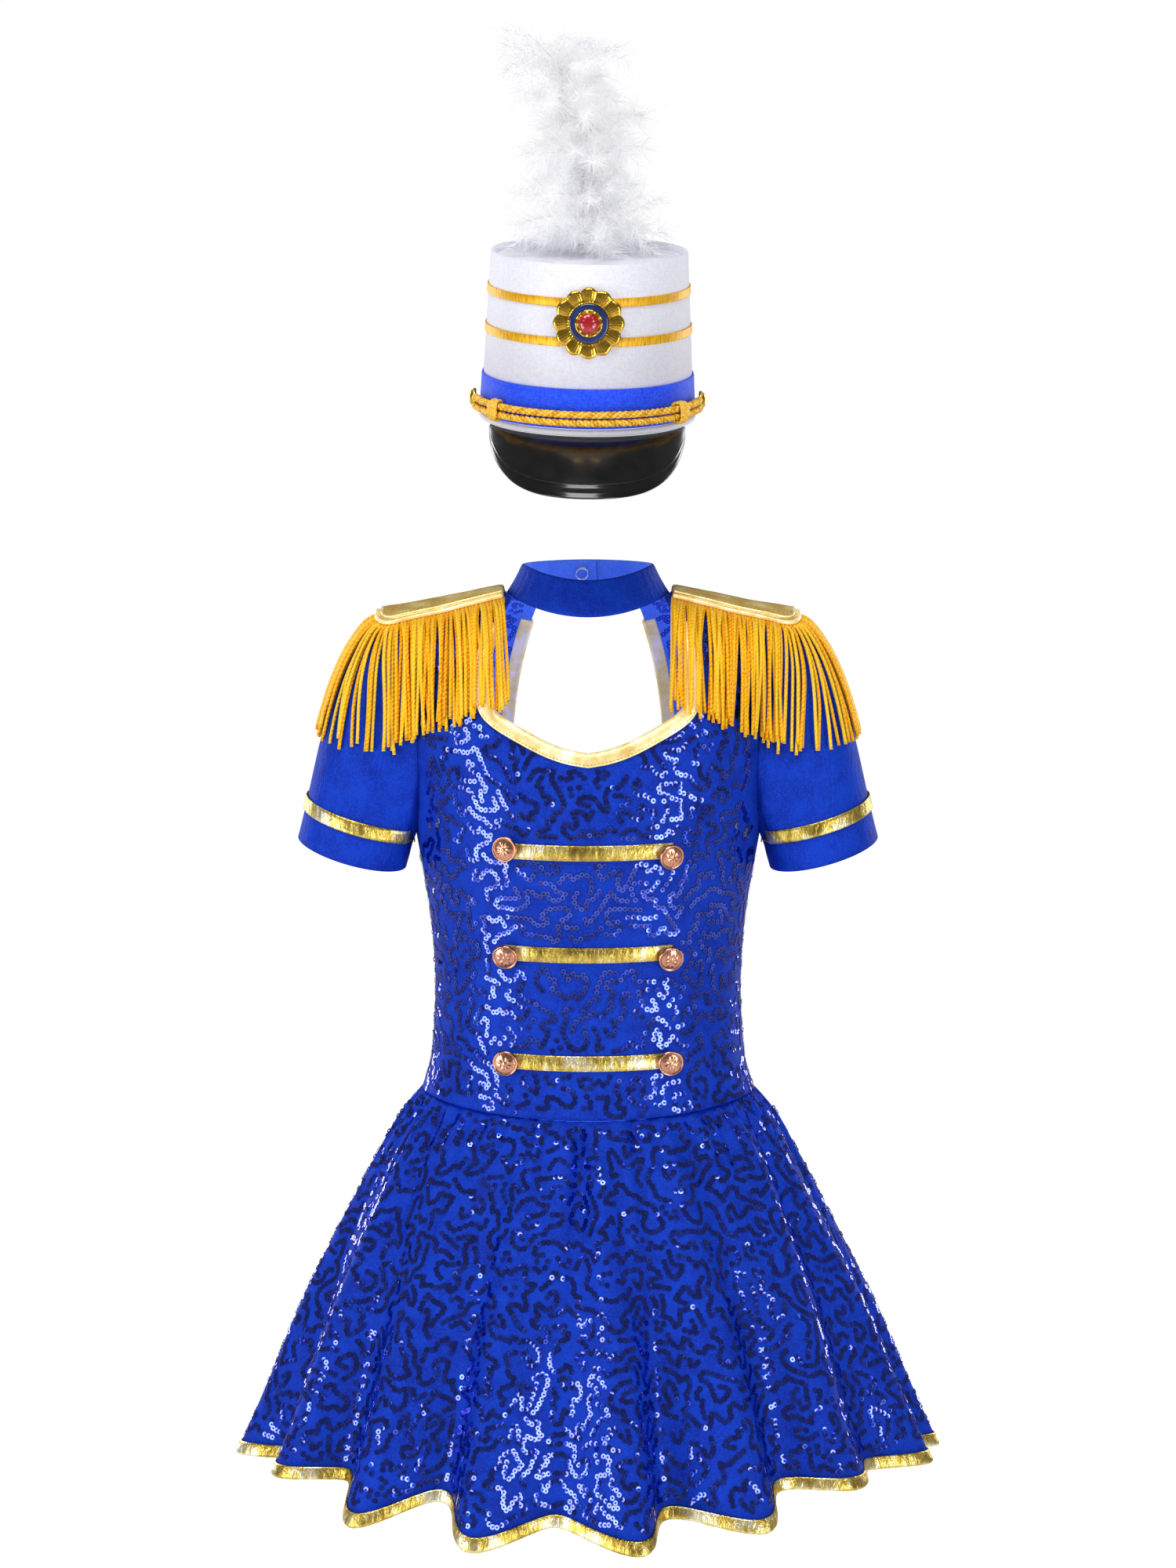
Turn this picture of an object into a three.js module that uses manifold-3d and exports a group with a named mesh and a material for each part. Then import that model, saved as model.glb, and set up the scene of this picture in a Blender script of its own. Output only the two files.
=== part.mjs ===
// A majorette's costume: a sequinned skater dress with fringed epaulettes, and a tall plumed cap above it.
// Millimetres, +Z up. The front faces -Y and +X is on the right of someone who looks at the front.
// The origin is the middle of the neck's base. Every cloth piece is a thin wall that keeps its worn shape.
import * as THREE from "three";
import { mergeVertices } from "three/addons/utils/BufferGeometryUtils.js";
import Module from "manifold-3d";

const wasm = await Module();
wasm.setup();

// Driving sizes
const CLOTH = 1.5; // wall of the sequinned and plain stretch cloth
const COLLAR_CLOTH = 2; // doubled knit
const TAPE = 1; // gold tapes and bindings
const SEAM = 0.3; // space between two pieces at a seam
const LIE = 0.6; // space under a piece that lies on a curved panel
const TAPE_WIDTH = 8.7; // hem tape
const BINDING_WIDTH = 8;
const BAR = { halfLength: 59, width: 11, zs: [-170.2, -243, -319.8] };
const BUTTON = { radius: 9, atX: 56, thickness: 2.4, dome: 2.2, shank: 2.2 };
const BOARD = { inner: 59, outer: 147, halfWidth: 28, corner: 13, thickness: 3 };
const FRINGE = { perSide: 30, length: 93, width: 4, depth: 2.4, stripThickness: 1.4 };
const SLEEVE = { around: 16, tapeFromHem: 21.5, tapeWidth: 10 };
const CAP = { height: 118, tilt: 8.5, roll: 0.8, x: -0.5, y: 4, z: 130.6, wall: 2.5 };

const degrees = THREE.MathUtils.degToRad;
const vec = (x, y, z) => new THREE.Vector3(x, y, z);

// Named columns of a table, read at any place between its rows, with smooth slopes.
function smoothTable(rows, key) {
  const at = rows.map((row) => row[key]);
  const columns = Object.keys(rows[0]).filter((name) => name !== key);
  const slope = (k, name) => {
    const low = Math.max(k - 1, 0);
    const high = Math.min(k + 1, rows.length - 1);
    return (rows[high][name] - rows[low][name]) / (at[high] - at[low]);
  };
  return (t) => {
    let k = 0;
    while (k < rows.length - 2 && t > at[k + 1]) k++;
    const span = at[k + 1] - at[k];
    const s = (t - at[k]) / span;
    const found = {};
    for (const name of columns) {
      const rise = s * s * (3 - 2 * s);
      const startSlope = s * (1 - s) * (1 - s) * span * slope(k, name);
      const endSlope = s * s * (s - 1) * span * slope(k + 1, name);
      found[name] = rows[k][name] + (rows[k + 1][name] - rows[k][name]) * rise + startSlope + endSlope;
    }
    return found;
  };
}

function steps(from, to, count) {
  return Array.from({ length: count + 1 }, (_, i) => from + ((to - from) * i) / count);
}

function smoothstep(x) {
  return THREE.MathUtils.smoothstep(x, 0, 1);
}

// The same results on every run, from a seed.
function randomFrom(seed) {
  let state = seed;
  return () => {
    state = (state * 1664525 + 1013904223) % 4294967296;
    return state / 4294967296;
  };
}

// Meshes

function indexedGeometry(points, triangles) {
  const geometry = new THREE.BufferGeometry().setFromPoints(points);
  geometry.setIndex(triangles);
  return geometry;
}

// A grid of points is a list of lines; each line runs along the piece, and the lines follow each other across it.
function gridNormals(grid, closed) {
  const last = grid[0].length - 1;
  return grid.map((line, j) =>
    line.map((_, i) => {
      const before = closed ? (i + last) % (last + 1) : Math.max(i - 1, 0);
      const after = closed ? (i + 1) % (last + 1) : Math.min(i + 1, last);
      const along = line[after].clone().sub(line[before]);
      const up = grid[Math.min(j + 1, grid.length - 1)][i].clone().sub(grid[Math.max(j - 1, 0)][i]);
      return along.cross(up).normalize();
    }),
  );
}

// A thin wall on a grid, from the offset low to the offset high along the grid's normals.
// flatten(point, j, i) may move a point, such as onto the plane of a seam.
function wall(grid, low, high, { closed = false, normals = gridNormals(grid, closed), flatten = (p) => p } = {}) {
  const count = grid[0].length;
  const moved = (offset) =>
    grid.flatMap((line, j) =>
      line.map((p, i) => flatten(p.clone().addScaledVector(normals[j][i], offset), j, i)),
    );
  const points = [...moved(high), ...moved(low)];
  const outer = (j, i) => j * count + (i % count);
  const inner = (j, i) => grid.length * count + outer(j, i);
  const triangles = [];
  const quad = (a, b, c, d) => triangles.push(a, b, c, a, c, d);
  const cells = closed ? count : count - 1;
  for (let j = 0; j < grid.length - 1; j++) {
    for (let i = 0; i < cells; i++) {
      quad(outer(j, i), outer(j, i + 1), outer(j + 1, i + 1), outer(j + 1, i));
      quad(inner(j, i), inner(j + 1, i), inner(j + 1, i + 1), inner(j, i + 1));
    }
  }
  const top = grid.length - 1;
  for (let i = 0; i < cells; i++) {
    quad(inner(0, i), inner(0, i + 1), outer(0, i + 1), outer(0, i));
    quad(outer(top, i), outer(top, i + 1), inner(top, i + 1), inner(top, i));
  }
  if (!closed) {
    for (let j = 0; j < top; j++) {
      quad(outer(j, 0), outer(j + 1, 0), inner(j + 1, 0), inner(j, 0));
      quad(inner(j, cells), inner(j + 1, cells), outer(j + 1, cells), outer(j, cells));
    }
  }
  return indexedGeometry(points, triangles);
}

// A closed solid through rings of points. A ring turns to the right about the way the rings follow each other.
function loft(rings) {
  const count = rings[0].length;
  const triangles = [];
  for (let k = 0; k < rings.length - 1; k++) {
    for (let i = 0; i < count; i++) {
      const [a, b] = [k * count + i, k * count + ((i + 1) % count)];
      triangles.push(a, b, b + count, a, b + count, a + count);
    }
  }
  const last = (rings.length - 1) * count;
  for (let i = 1; i < count - 1; i++) {
    triangles.push(0, i + 1, i, last, last + i, last + i + 1);
  }
  return indexedGeometry(rings.flat(), triangles);
}

// A ring of points about a centre, flat across an axis; the first point is towards reference x axis.
function ringAround(centre, axis, reference, radius, count) {
  const across = axis.clone().cross(reference).normalize();
  const up = across.clone().cross(axis).normalize();
  return steps(0, 2 * Math.PI, count).slice(0, count).map((a) =>
    centre.clone().addScaledVector(across, -radius * Math.cos(a)).addScaledVector(up, radius * Math.sin(a)),
  );
}

// The way a line of points runs at one of them.
function heading(points, i) {
  return points[Math.min(i + 1, points.length - 1)].clone().sub(points[Math.max(i - 1, 0)]).normalize();
}

// A round tube through points, none of them straight above the one before.
function tube(points, radius, sides) {
  return loft(points.map((p, i) => ringAround(p, heading(points, i), vec(0, 0, 1), radius, sides)));
}

// A three-sided lock along a line: flat underneath, with a ridge on the side that across x heading points to.
function lock(line, across, sizes) {
  return loft(
    line.map((p, i) => {
      const [width, depth] = sizes[i];
      const out = across.clone().cross(heading(line, i)).normalize();
      const corner = (w, d) => p.clone().addScaledVector(across, w * width).addScaledVector(out, d * depth);
      return [corner(0.5, -0.5), corner(-0.5, -0.5), corner(0, 0.5)];
    }),
  );
}

// Solids that are joined and cut

function solidOf(geometry) {
  const bare = new THREE.BufferGeometry().setAttribute("position", geometry.getAttribute("position"));
  bare.setIndex(geometry.index);
  const merged = mergeVertices(bare, 1e-3);
  const vertProperties = new Float32Array(merged.attributes.position.array);
  const triVerts = new Uint32Array(merged.index.array);
  return new wasm.Manifold(new wasm.Mesh({ numProp: 3, vertProperties, triVerts }));
}

function geometryOf(solid) {
  const { vertProperties, triVerts } = solid.getMesh();
  const geometry = new THREE.BufferGeometry();
  geometry.setAttribute("position", new THREE.BufferAttribute(vertProperties, 3));
  geometry.setIndex(new THREE.BufferAttribute(triVerts, 1));
  return geometry;
}

// Crumbs that a cut leaves are dropped: the largest body stays.
function largestBody(solid) {
  return solid.decompose().reduce((best, body) => (body.volume() > best.volume() ? body : best));
}

function cut(geometry, ...cutters) {
  const rest = cutters.reduce((solid, cutter) => solid.subtract(solidOf(cutter)), solidOf(geometry));
  return geometryOf(largestBody(rest));
}

function join(geometries) {
  const all = geometries.map(solidOf).reduce((whole, solid) => whole.add(solid));
  return geometryOf(largestBody(all));
}

// A cutter through the garment along Y, from its outline in the front view.
function cutterAlongY(outline, fromY, toY) {
  const shape = new THREE.Shape(outline.map(([x, z]) => new THREE.Vector2(x, z)));
  const geometry = new THREE.ExtrudeGeometry(shape, { depth: toY - fromY, bevelEnabled: false });
  return geometry.rotateX(Math.PI / 2).translate(0, toY, 0);
}

// The dress's body, from the waist seam up to the neck.
// half is the half width, front and back the depths; a row's height is given at the front, side and back.
// tip over 1 narrows the ends of a row, as over the shoulders.
const bodyRow = smoothTable(
  [
    { v: 0, half: 119, front: 88, back: 84, zFront: -361, zSide: -349, zBack: -355, tip: 0.92 },
    { v: 1, half: 112.8, front: 84.5, back: 78, zFront: -338, zSide: -329, zBack: -333, tip: 0.92 },
    { v: 2, half: 109.8, front: 82.5, back: 72, zFront: -296, zSide: -292, zBack: -294, tip: 0.92 },
    { v: 3, half: 109.8, front: 84, back: 71, zFront: -256, zSide: -256, zBack: -256, tip: 0.92 },
    { v: 4, half: 113.5, front: 89, back: 77, zFront: -218, zSide: -218, zBack: -218, tip: 0.92 },
    { v: 5, half: 118.8, front: 95, back: 83, zFront: -187, zSide: -187, zBack: -187, tip: 0.92 },
    { v: 6, half: 124, front: 97, back: 86, zFront: -160, zSide: -158, zBack: -158, tip: 0.94 },
    { v: 7, half: 131, front: 95, back: 87, zFront: -128, zSide: -119, zBack: -122, tip: 0.97 },
    { v: 8, half: 138, front: 90, back: 86, zFront: -96, zSide: -81, zBack: -86, tip: 1 },
    { v: 9, half: 151, front: 82, back: 82, zFront: -67, zSide: -47, zBack: -53, tip: 1.04 },
    { v: 10, half: 163, front: 72, back: 74, zFront: -42, zSide: -18, zBack: -25, tip: 1.1 },
    { v: 11, half: 110, front: 64, back: 66, zFront: -24, zSide: -5.5, zBack: -9, tip: 1.06 },
    { v: 12, half: 58, front: 57, back: 56, zFront: -9, zSide: 5, zBack: 2, tip: 1 },
  ],
  "v",
);
const NECK = 12;
const SHOULDER_TIP = 10;

// phi is 0 at the middle of the front, a quarter turn at the side on +X, and a half turn at the back.
function bodyPoint(phi, v) {
  const row = bodyRow(v);
  const [s, c] = [Math.sin(phi), Math.cos(phi)];
  const depth = c > 0 ? row.front : row.back;
  const zMiddle = c > 0 ? row.zFront : row.zBack;
  return vec(
    row.half * Math.sign(s) * Math.abs(s) ** Math.min(row.tip, 1),
    -depth * Math.sign(c) * Math.abs(c) ** row.tip,
    zMiddle + (row.zSide - zMiddle) * s * s,
  );
}

function bisect(f, low, high) {
  const rising = f(high) > f(low);
  for (let k = 0; k < 40; k++) {
    const middle = (low + high) / 2;
    if (f(middle) > 0 === rising) high = middle;
    else low = middle;
  }
  return (low + high) / 2;
}

// The place on the body under a point of the front view, on the front (facing -1) or the back (facing 1).
function bodyUnder(x, z, facing) {
  const turn = (v) => {
    const row = bodyRow(v);
    const share = Math.min(Math.abs(x) / row.half, 1) ** (1 / Math.min(row.tip, 1));
    const side = Math.asin(share);
    return (x < 0 ? -1 : 1) * (facing < 0 ? side : Math.PI - side);
  };
  const v = bisect((level) => bodyPoint(turn(level), level).z - z, 0, x ** 2 < 108 ** 2 ? NECK : SHOULDER_TIP);
  return { phi: turn(v), v };
}

// The two halves of the bodice before they are cut: the front (facing -1) and the back (facing 1).
// The side and shoulder seams lie in the plane y = 0.
function halfBody(facing, across, up) {
  const from = facing < 0 ? -Math.PI / 2 : Math.PI / 2;
  const turns = steps(from, from + Math.PI, across);
  const grid = steps(0, NECK, up).map((v) => turns.map((phi) => bodyPoint(phi, v)));
  return { facing, across, up, grid, normals: gridNormals(grid, false) };
}
const frontHalf = halfBody(-1, 18, 11);
const backHalf = halfBody(1, 16, 10);

// A point of a panel's flat facets, moved out along its normals.
function onPanel({ facing, across, up, grid, normals }, phi, v, offset) {
  const from = facing < 0 ? -Math.PI / 2 : Math.PI / 2;
  const turn = facing > 0 && phi < 0 ? phi + 2 * Math.PI : phi;
  const cell = (share, cells) => THREE.MathUtils.clamp(Math.floor(share), 0, cells - 1);
  const [column, row] = [((turn - from) / Math.PI) * across, (v / NECK) * up];
  const [i, j] = [cell(column, across), cell(row, up)];
  const corner = (dj, di) => grid[j + dj][i + di].clone().addScaledVector(normals[j + dj][i + di], offset);
  const [u, w] = [column - i, row - j];
  const start = corner(0, 0);
  const far = corner(1, 1).sub(start);
  const side = u > w ? corner(0, 1).sub(start) : corner(1, 0).sub(start);
  return start.addScaledVector(far, Math.min(u, w)).addScaledVector(side, Math.abs(u - w));
}

// The same from a point of the front view.
function underView(half, x, z, offset) {
  const { phi, v } = bodyUnder(x, z, half.facing);
  return onPanel(half, phi, v, offset);
}

// Outlines in the front view, for the right half: x, z

// The open front: a shallow V, a round corner under the fringe, then up to the collar.
const FRONT_OPENING = [
  [0, -104.5], [15, -101.6], [30, -96.2], [50, -85.8], [63, -77.6], [69, -70],
  [70.5, -58], [69.5, -38], [63.5, -14], [52.5, 6],
];
// The open back: narrow at the collar, widest behind the V and round below it.
const BACK_OPENING = [
  [0, -190], [22, -184], [41, -166], [53, -138], [56.5, -108], [54.5, -78], [49.5, -48], [42, -20], [35.5, -1.5],
];

function smoothOutline(points, count) {
  const curve = new THREE.CatmullRomCurve3(points.map(([x, z]) => vec(x, z, 0)));
  return curve.getSpacedPoints(count).map((p) => [p.x, p.y]);
}

// Both halves of an opening's edge, from the collar at the left, down round the bottom and up to the right.
function bothHalves(half) {
  const left = half.slice(1).reverse().map(([x, z]) => [-x, z]);
  return [...left, ...half];
}

function openingCutter(points, facing) {
  const edge = bothHalves(smoothOutline(points, 14));
  const [x] = edge[edge.length - 1];
  const outline = [...edge, [x, 30], [-x, 30]];
  return cutterAlongY(outline, facing < 0 ? -200 : 5, facing < 0 ? -5 : 200);
}

// The armhole's edge in the front view: how far out the bodice reaches at each height.
const armholeEdge = smoothTable(
  [
    { z: -190, x: 127 }, { z: -164.8, x: 122.3 }, { z: -140, x: 120 }, { z: -106.7, x: 120.1 },
    { z: -73, x: 124.3 }, { z: -34.8, x: 134 }, { z: -12, x: 146 }, { z: 20, x: 170 },
  ],
  "z",
);

// Everything outside the armhole's edge on one side, kept clear by the amount given; or, with keep, inside it.
function armholeCutter(side, clear, keepOutside) {
  const edge = steps(-176, 10, 16).map((z) => [side * (armholeEdge(z).x + clear), z]);
  const far = keepOutside ? 0 : side * 260;
  const outline = [...edge, [far, 10], [far, -176]];
  return cutterAlongY(outline, -200, 200);
}

// Bodice panels

function bodicePanel({ facing, grid, normals }) {
  const flatten = (p, j, i) => {
    p.y = facing < 0 ? Math.min(p.y, -SEAM / 2) : Math.max(p.y, SEAM / 2);
    if (j === 0) p.z = grid[0][i].z;
    return p;
  };
  return wall(grid, -CLOTH, 0, { normals, flatten });
}

const bodiceFront = cut(
  bodicePanel(frontHalf),
  openingCutter(FRONT_OPENING, -1),
  armholeCutter(1, 0, false),
  armholeCutter(-1, 0, false),
);
const bodiceBack = cut(
  bodicePanel(backHalf),
  openingCutter(BACK_OPENING, 1),
  armholeCutter(1, 0, false),
  armholeCutter(-1, 0, false),
);

// Gold binding folded over the edge of an opening, inside and out.
// It stops just under the collar, at the height top.
function openingBinding(points, half, count, top) {
  const edge = bothHalves(smoothOutline(points, count)).filter(([, z]) => z < top);
  const intoCloth = edge.map(([x, z], i) => {
    const [ax, az] = edge[Math.max(i - 1, 0)];
    const [bx, bz] = edge[Math.min(i + 1, edge.length - 1)];
    const length = Math.hypot(bx - ax, bz - az);
    return [(bz - az) / length, -(bx - ax) / length];
  });
  const line = (reach, offset) =>
    edge.map(([x, z], i) => {
      const [ox, oz] = intoCloth[i];
      const { phi, v } = bodyUnder(x + ox * reach, z + oz * reach, half.facing);
      const looser = 0.2 + 0.7 * smoothstep((v - 7.4) / 1.6); // where the shoulder bends most
      return onPanel(half, phi, v, offset + Math.sign(offset) * looser);
    });
  const [outside, inside, clear] = [LIE, -CLOTH - LIE, 1.5];
  const fold = [line(BINDING_WIDTH, inside), line(-clear, inside), line(-clear, outside), line(BINDING_WIDTH, outside)];
  return wall(half.facing < 0 ? fold.reverse() : fold, 0, TAPE);
}

// Sleeves

// The armhole's edge on the body, from the shoulder down the front, and back up behind.
function armholeLoop(side, count) {
  const excess = (phi, v) => {
    const p = bodyPoint(phi, v);
    return p.x - armholeEdge(p.z).x;
  };
  const quarter = Math.PI / 2;
  const lowest = bisect((v) => excess(quarter, v), 4, 7);
  const highest = bisect((v) => excess(quarter, v), 10.9, 9.8);
  const edgeAt = (v, towards) => bodyPoint(bisect((phi) => excess(phi, v), towards, quarter), v);
  const levels = steps(lowest, highest, 60).map((v) => lowest + (highest - lowest) * smoothstep((v - lowest) / (highest - lowest)));
  const front = levels.map((v) => edgeAt(v, 0.1)).reverse();
  const back = levels.map((v) => edgeAt(v, Math.PI - 0.1));
  const loop = new THREE.CatmullRomCurve3([...front, ...back.slice(1, -1)], true);
  return loop.getSpacedPoints(count).slice(0, count).map((p) => p.setX(side * p.x));
}

const CUFF = { x: 168.5, z: -179.4, outX: 38.7, outZ: 10.7, forward: 43, forwardDrop: 6.3 };

// s runs from 0 at the armhole to 1 at the sleeve's hem.
function sleevePoint(side, armhole, i, s) {
  const turn = (2 * Math.PI * i) / armhole.length;
  const [c, f] = [Math.cos(turn), Math.sin(turn)];
  const start = armhole[i];
  const end = vec(
    side * (CUFF.x + CUFF.outX * c),
    -CUFF.forward * f,
    CUFF.z + CUFF.outZ * c - CUFF.forwardDrop * f,
  );
  const over = (1 + c) / 2; // 1 on the shoulder, 0 under the arm
  const reach = start.distanceTo(end);
  const leave = vec(side * (0.3 + 0.55 * over), 0, -0.95 + 0.43 * over).setLength(0.8 * reach);
  const arrive = vec(side * 0.264, 0, -0.955).setLength(reach);
  const s2 = s * s;
  const s3 = s2 * s;
  return start
    .clone()
    .multiplyScalar(2 * s3 - 3 * s2 + 1)
    .addScaledVector(leave, s3 - 2 * s2 + s)
    .addScaledVector(end, 3 * s2 - 2 * s3)
    .addScaledVector(arrive, s3 - s2);
}

// The place on a sleeve's line that is a distance from the hem, measured along the cloth.
function fromSleeveHem(side, armhole, i, distance) {
  const along = (s) => steps(s, 1, 8).map((t) => sleevePoint(side, armhole, i, t));
  const length = (s) => along(s).reduce((sum, p, k, all) => sum + (k ? p.distanceTo(all[k - 1]) : 0), 0);
  return sleevePoint(side, armhole, i, bisect((s) => length(s) - distance, 0.3, 1));
}

// Rings of points that go down the sleeve, run so that a wall's normals point outwards.
function sleeveRings(side, places, pointAt) {
  const armhole = armholeLoop(side, SLEEVE.around);
  const order = [...armhole.keys()];
  if (side < 0) order.reverse();
  return places.map((place) => order.map((i) => pointAt(side, armhole, i, place)));
}

function sleeve(side) {
  const grid = sleeveRings(side, [-0.03, 0.1, 0.38, 0.7, 1], sleevePoint);
  return cut(wall(grid, -CLOTH, 0, { closed: true }), armholeCutter(side, SEAM, true));
}

function sleeveTape(side) {
  const { tapeFromHem, tapeWidth } = SLEEVE;
  const rings = sleeveRings(side, [tapeFromHem + tapeWidth, tapeFromHem], fromSleeveHem);
  return wall(rings, LIE + 0.4, LIE + 0.4 + TAPE, { closed: true });
}

// Collar: one band whose ends lap at the back of the neck, the inner end inside the outer one.
const COLLAR_LOW = { half: 58, front: 57, back: 56, zFront: -9, zSide: 5, zBack: 2 };
const COLLAR_TOP = { half: 46.8, front: 46, back: 46, zFront: 16.2, zSide: 26, zBack: 27 };
const COLLAR_WAIST = 0.8; // how far the band curves in between its edges, as a neck does

function collarPoint(phi, h) {
  const [s, c] = [Math.sin(phi), Math.cos(phi)];
  const between = (name) => COLLAR_LOW[name] + (COLLAR_TOP[name] - COLLAR_LOW[name]) * h;
  const depth = c > 0 ? between("front") : between("back");
  const zMiddle = c > 0 ? between("zFront") : between("zBack");
  const inwards = COLLAR_WAIST * 4 * h * (1 - h);
  const lapped = smoothstep((degrees(-138) - phi) / degrees(10)) * (COLLAR_CLOTH + 0.5);
  return vec(
    (between("half") - inwards - lapped) * s,
    -(depth - inwards - lapped) * c,
    zMiddle + (between("zSide") - zMiddle) * s * s + SEAM,
  );
}

const COLLAR_ENDS = { inner: degrees(-188), outer: degrees(212) };

function collarBand() {
  const turns = steps(COLLAR_ENDS.inner, COLLAR_ENDS.outer, 32);
  const grid = [0, 0.5, 1].map((h) => turns.map((phi) => collarPoint(phi, h)));
  return wall(grid, -COLLAR_CLOTH, 0);
}

// One half of a ring snap, on the outside (out 1) or the inside (out -1) of the lapped collar.
const SNAP = { hole: 3.4, radius: 5.3, height: 1.4, h: 0.62 };

function collarSnap(phi, out) {
  const { hole, radius, height } = SNAP;
  const profile = [[hole, 0], [radius, 0], [radius, 0.7], [radius - 0.8, height], [hole, 0.9], [hole, 0]];
  const ring = new THREE.LatheGeometry(profile.map(([r, z]) => new THREE.Vector2(r, z)), 10);
  const at = collarPoint(phi, SNAP.h);
  const along = collarPoint(phi + 0.01, SNAP.h).sub(at);
  const normal = along.cross(collarPoint(phi, SNAP.h + 0.01).sub(at)).normalize();
  const off = out > 0 ? 0.5 : COLLAR_CLOTH + 0.8;
  return facing(ring.rotateX(Math.PI / 2), at.addScaledVector(normal, out * off), normal.multiplyScalar(out));
}

// Skirt: gathered into the waist seam, then opening into deep folds.
// d runs from 0 at the seam to 1 at the hem tape's top edge.
const skirtRow = smoothTable(
  [
    { d: 0, half: 119, front: 88, back: 84, zFront: -361, zSide: -349, zBack: -355 },
    { d: 0.1, half: 136, front: 101, back: 97, zFront: -386, zSide: -374, zBack: -379 },
    { d: 0.35, half: 168, front: 131, back: 125, zFront: -452, zSide: -437, zBack: -443 },
    { d: 0.6, half: 197, front: 155, back: 148, zFront: -518, zSide: -501, zBack: -508 },
    { d: 0.85, half: 220.5, front: 177, back: 170, zFront: -584, zSide: -566, zBack: -574 },
    { d: 1, half: 235, front: 188, back: 181, zFront: -623.5, zSide: -604, zBack: -612 },
  ],
  "d",
);

// The folds' crests, by their angle round the skirt: how far they stand out, lean round and hang down at the hem.
const FOLDS = [
  { at: -87, out: 15, lean: 0, drop: 2 }, { at: -62, out: 13, lean: 3, drop: 0 },
  { at: -38, out: 19, lean: -8, drop: 20 }, { at: -15.6, out: 16, lean: -14, drop: 18 },
  { at: 4.4, out: 18, lean: 16, drop: 12 }, { at: 24.5, out: 17, lean: 18, drop: 15 },
  { at: 50, out: 12, lean: -4, drop: 1 }, { at: 74, out: 15, lean: 6, drop: 0 },
  { at: 96, out: 17, lean: -6, drop: 2 }, { at: 119, out: 18, lean: 10, drop: 6 },
  { at: 141, out: 15, lean: -12, drop: 10 }, { at: 162, out: 18, lean: 8, drop: 12 },
  { at: 184, out: 16, lean: -10, drop: 10 }, { at: 206, out: 18, lean: 12, drop: 14 },
  { at: 228, out: 15, lean: -6, drop: 8 }, { at: 250, out: 17, lean: 8, drop: 5 },
];
const GATHERS = 42; // small gathers in the waist seam
const GATHER_DEPTH = 1.3;

// How far the cloth stands out, leans round and hangs down at an angle, at the hem.
function foldAt(phi) {
  const turn = THREE.MathUtils.euclideanModulo(THREE.MathUtils.radToDeg(phi) - FOLDS[0].at, 360) + FOLDS[0].at;
  let k = FOLDS.length - 1;
  while (k > 0 && FOLDS[k].at > turn) k--;
  const next = FOLDS[(k + 1) % FOLDS.length];
  const span = (k + 1 === FOLDS.length ? next.at + 360 : next.at) - FOLDS[k].at;
  const t = (turn - FOLDS[k].at) / span;
  const crest = (1 + Math.cos(2 * Math.PI * t)) / 2; // 1 on a crest, 0 in a valley
  const own = smoothstep(1 - t);
  const out = FOLDS[k].out * own + next.out * (1 - own);
  const { lean, drop } = t < 0.5 ? FOLDS[k] : next;
  return { out: out * (2 * crest - 1), lean: lean * crest, drop: drop * crest };
}

function skirtPoint(phi, d) {
  const row = skirtRow(d);
  const grown = d ** 1.15;
  const { out, lean, drop } = foldAt(phi);
  const gather = GATHER_DEPTH * Math.sin(GATHERS * phi) * Math.exp(-d / 0.16);
  const radial = out * grown + gather;
  const turn = phi + (lean * grown) / row.half;
  const [s, c] = [Math.sin(turn), Math.cos(turn)];
  const depth = c > 0 ? row.front : row.back;
  const zMiddle = c > 0 ? row.zFront : row.zBack;
  const length = Math.hypot(s / row.half, c / depth);
  // At the hem the front hangs lower than the sides only over its middle.
  const share = THREE.MathUtils.lerp(s * s, smoothstep(Math.abs(Math.asin(s)) / degrees(42)), d);
  return vec(
    row.half * s + (radial * s) / row.half / length,
    -(depth * c + (radial * c) / depth / length),
    zMiddle + (row.zSide - zMiddle) * share - drop * grown * d,
  );
}

const HEM = 1 + TAPE_WIDTH / 289;
const HEM_GAP = 0.35 / 289;
const PER_FOLD = 6; // columns of points, so that each crest and each valley has its own

// The columns round the whole skirt, from the side seam on -X round the front and the back.
function skirtTurns() {
  const onFolds = FOLDS.flatMap((fold, k) => {
    const next = k + 1 < FOLDS.length ? FOLDS[k + 1].at : FOLDS[0].at + 360;
    return steps(fold.at, next, PER_FOLD).slice(0, PER_FOLD);
  });
  const seams = [-90, 90];
  const clear = onFolds.map((a) => (a >= 270 ? a - 360 : a)).filter((a) => seams.every((b) => Math.abs(a - b) > 1.6));
  return [...seams, ...clear].sort((a, b) => a - b).map(degrees);
}

// Half of the skirt, or of its tape, on lines of points from the lowest d to the highest.
function skirtHalf(facing, ds, low, high) {
  const turns = skirtTurns();
  const ring = ds.map((d) => turns.map((phi) => skirtPoint(phi, d)));
  const ringNormals = gridNormals(ring, true);
  const sideSeam = turns.findIndex((phi) => phi > Math.PI / 2 - 0.01);
  const half = (line) => (facing < 0 ? line.slice(0, sideSeam + 1) : [...line.slice(sideSeam), line[0]]);
  const grid = ring.map(half);
  const last = grid[0].length - 1;
  // The halves part at the side, half a seam each, and the upper and lower edges are cut level.
  const flatten = (p, j, i) => {
    if (i === 0) p.add(grid[j][1].clone().sub(grid[j][0]).setLength(SEAM / 2));
    if (i === last) p.add(grid[j][last - 1].clone().sub(grid[j][last]).setLength(SEAM / 2));
    if (j === 0 || j === grid.length - 1) p.z = grid[j][i].z;
    return p;
  };
  return wall(grid, low, high, { normals: ringNormals.map(half), flatten });
}

const skirtLevels = [1 - HEM_GAP, 0.72, 0.42, 0.15, 0.0016];
const tapeLevels = [HEM, 1];

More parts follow.
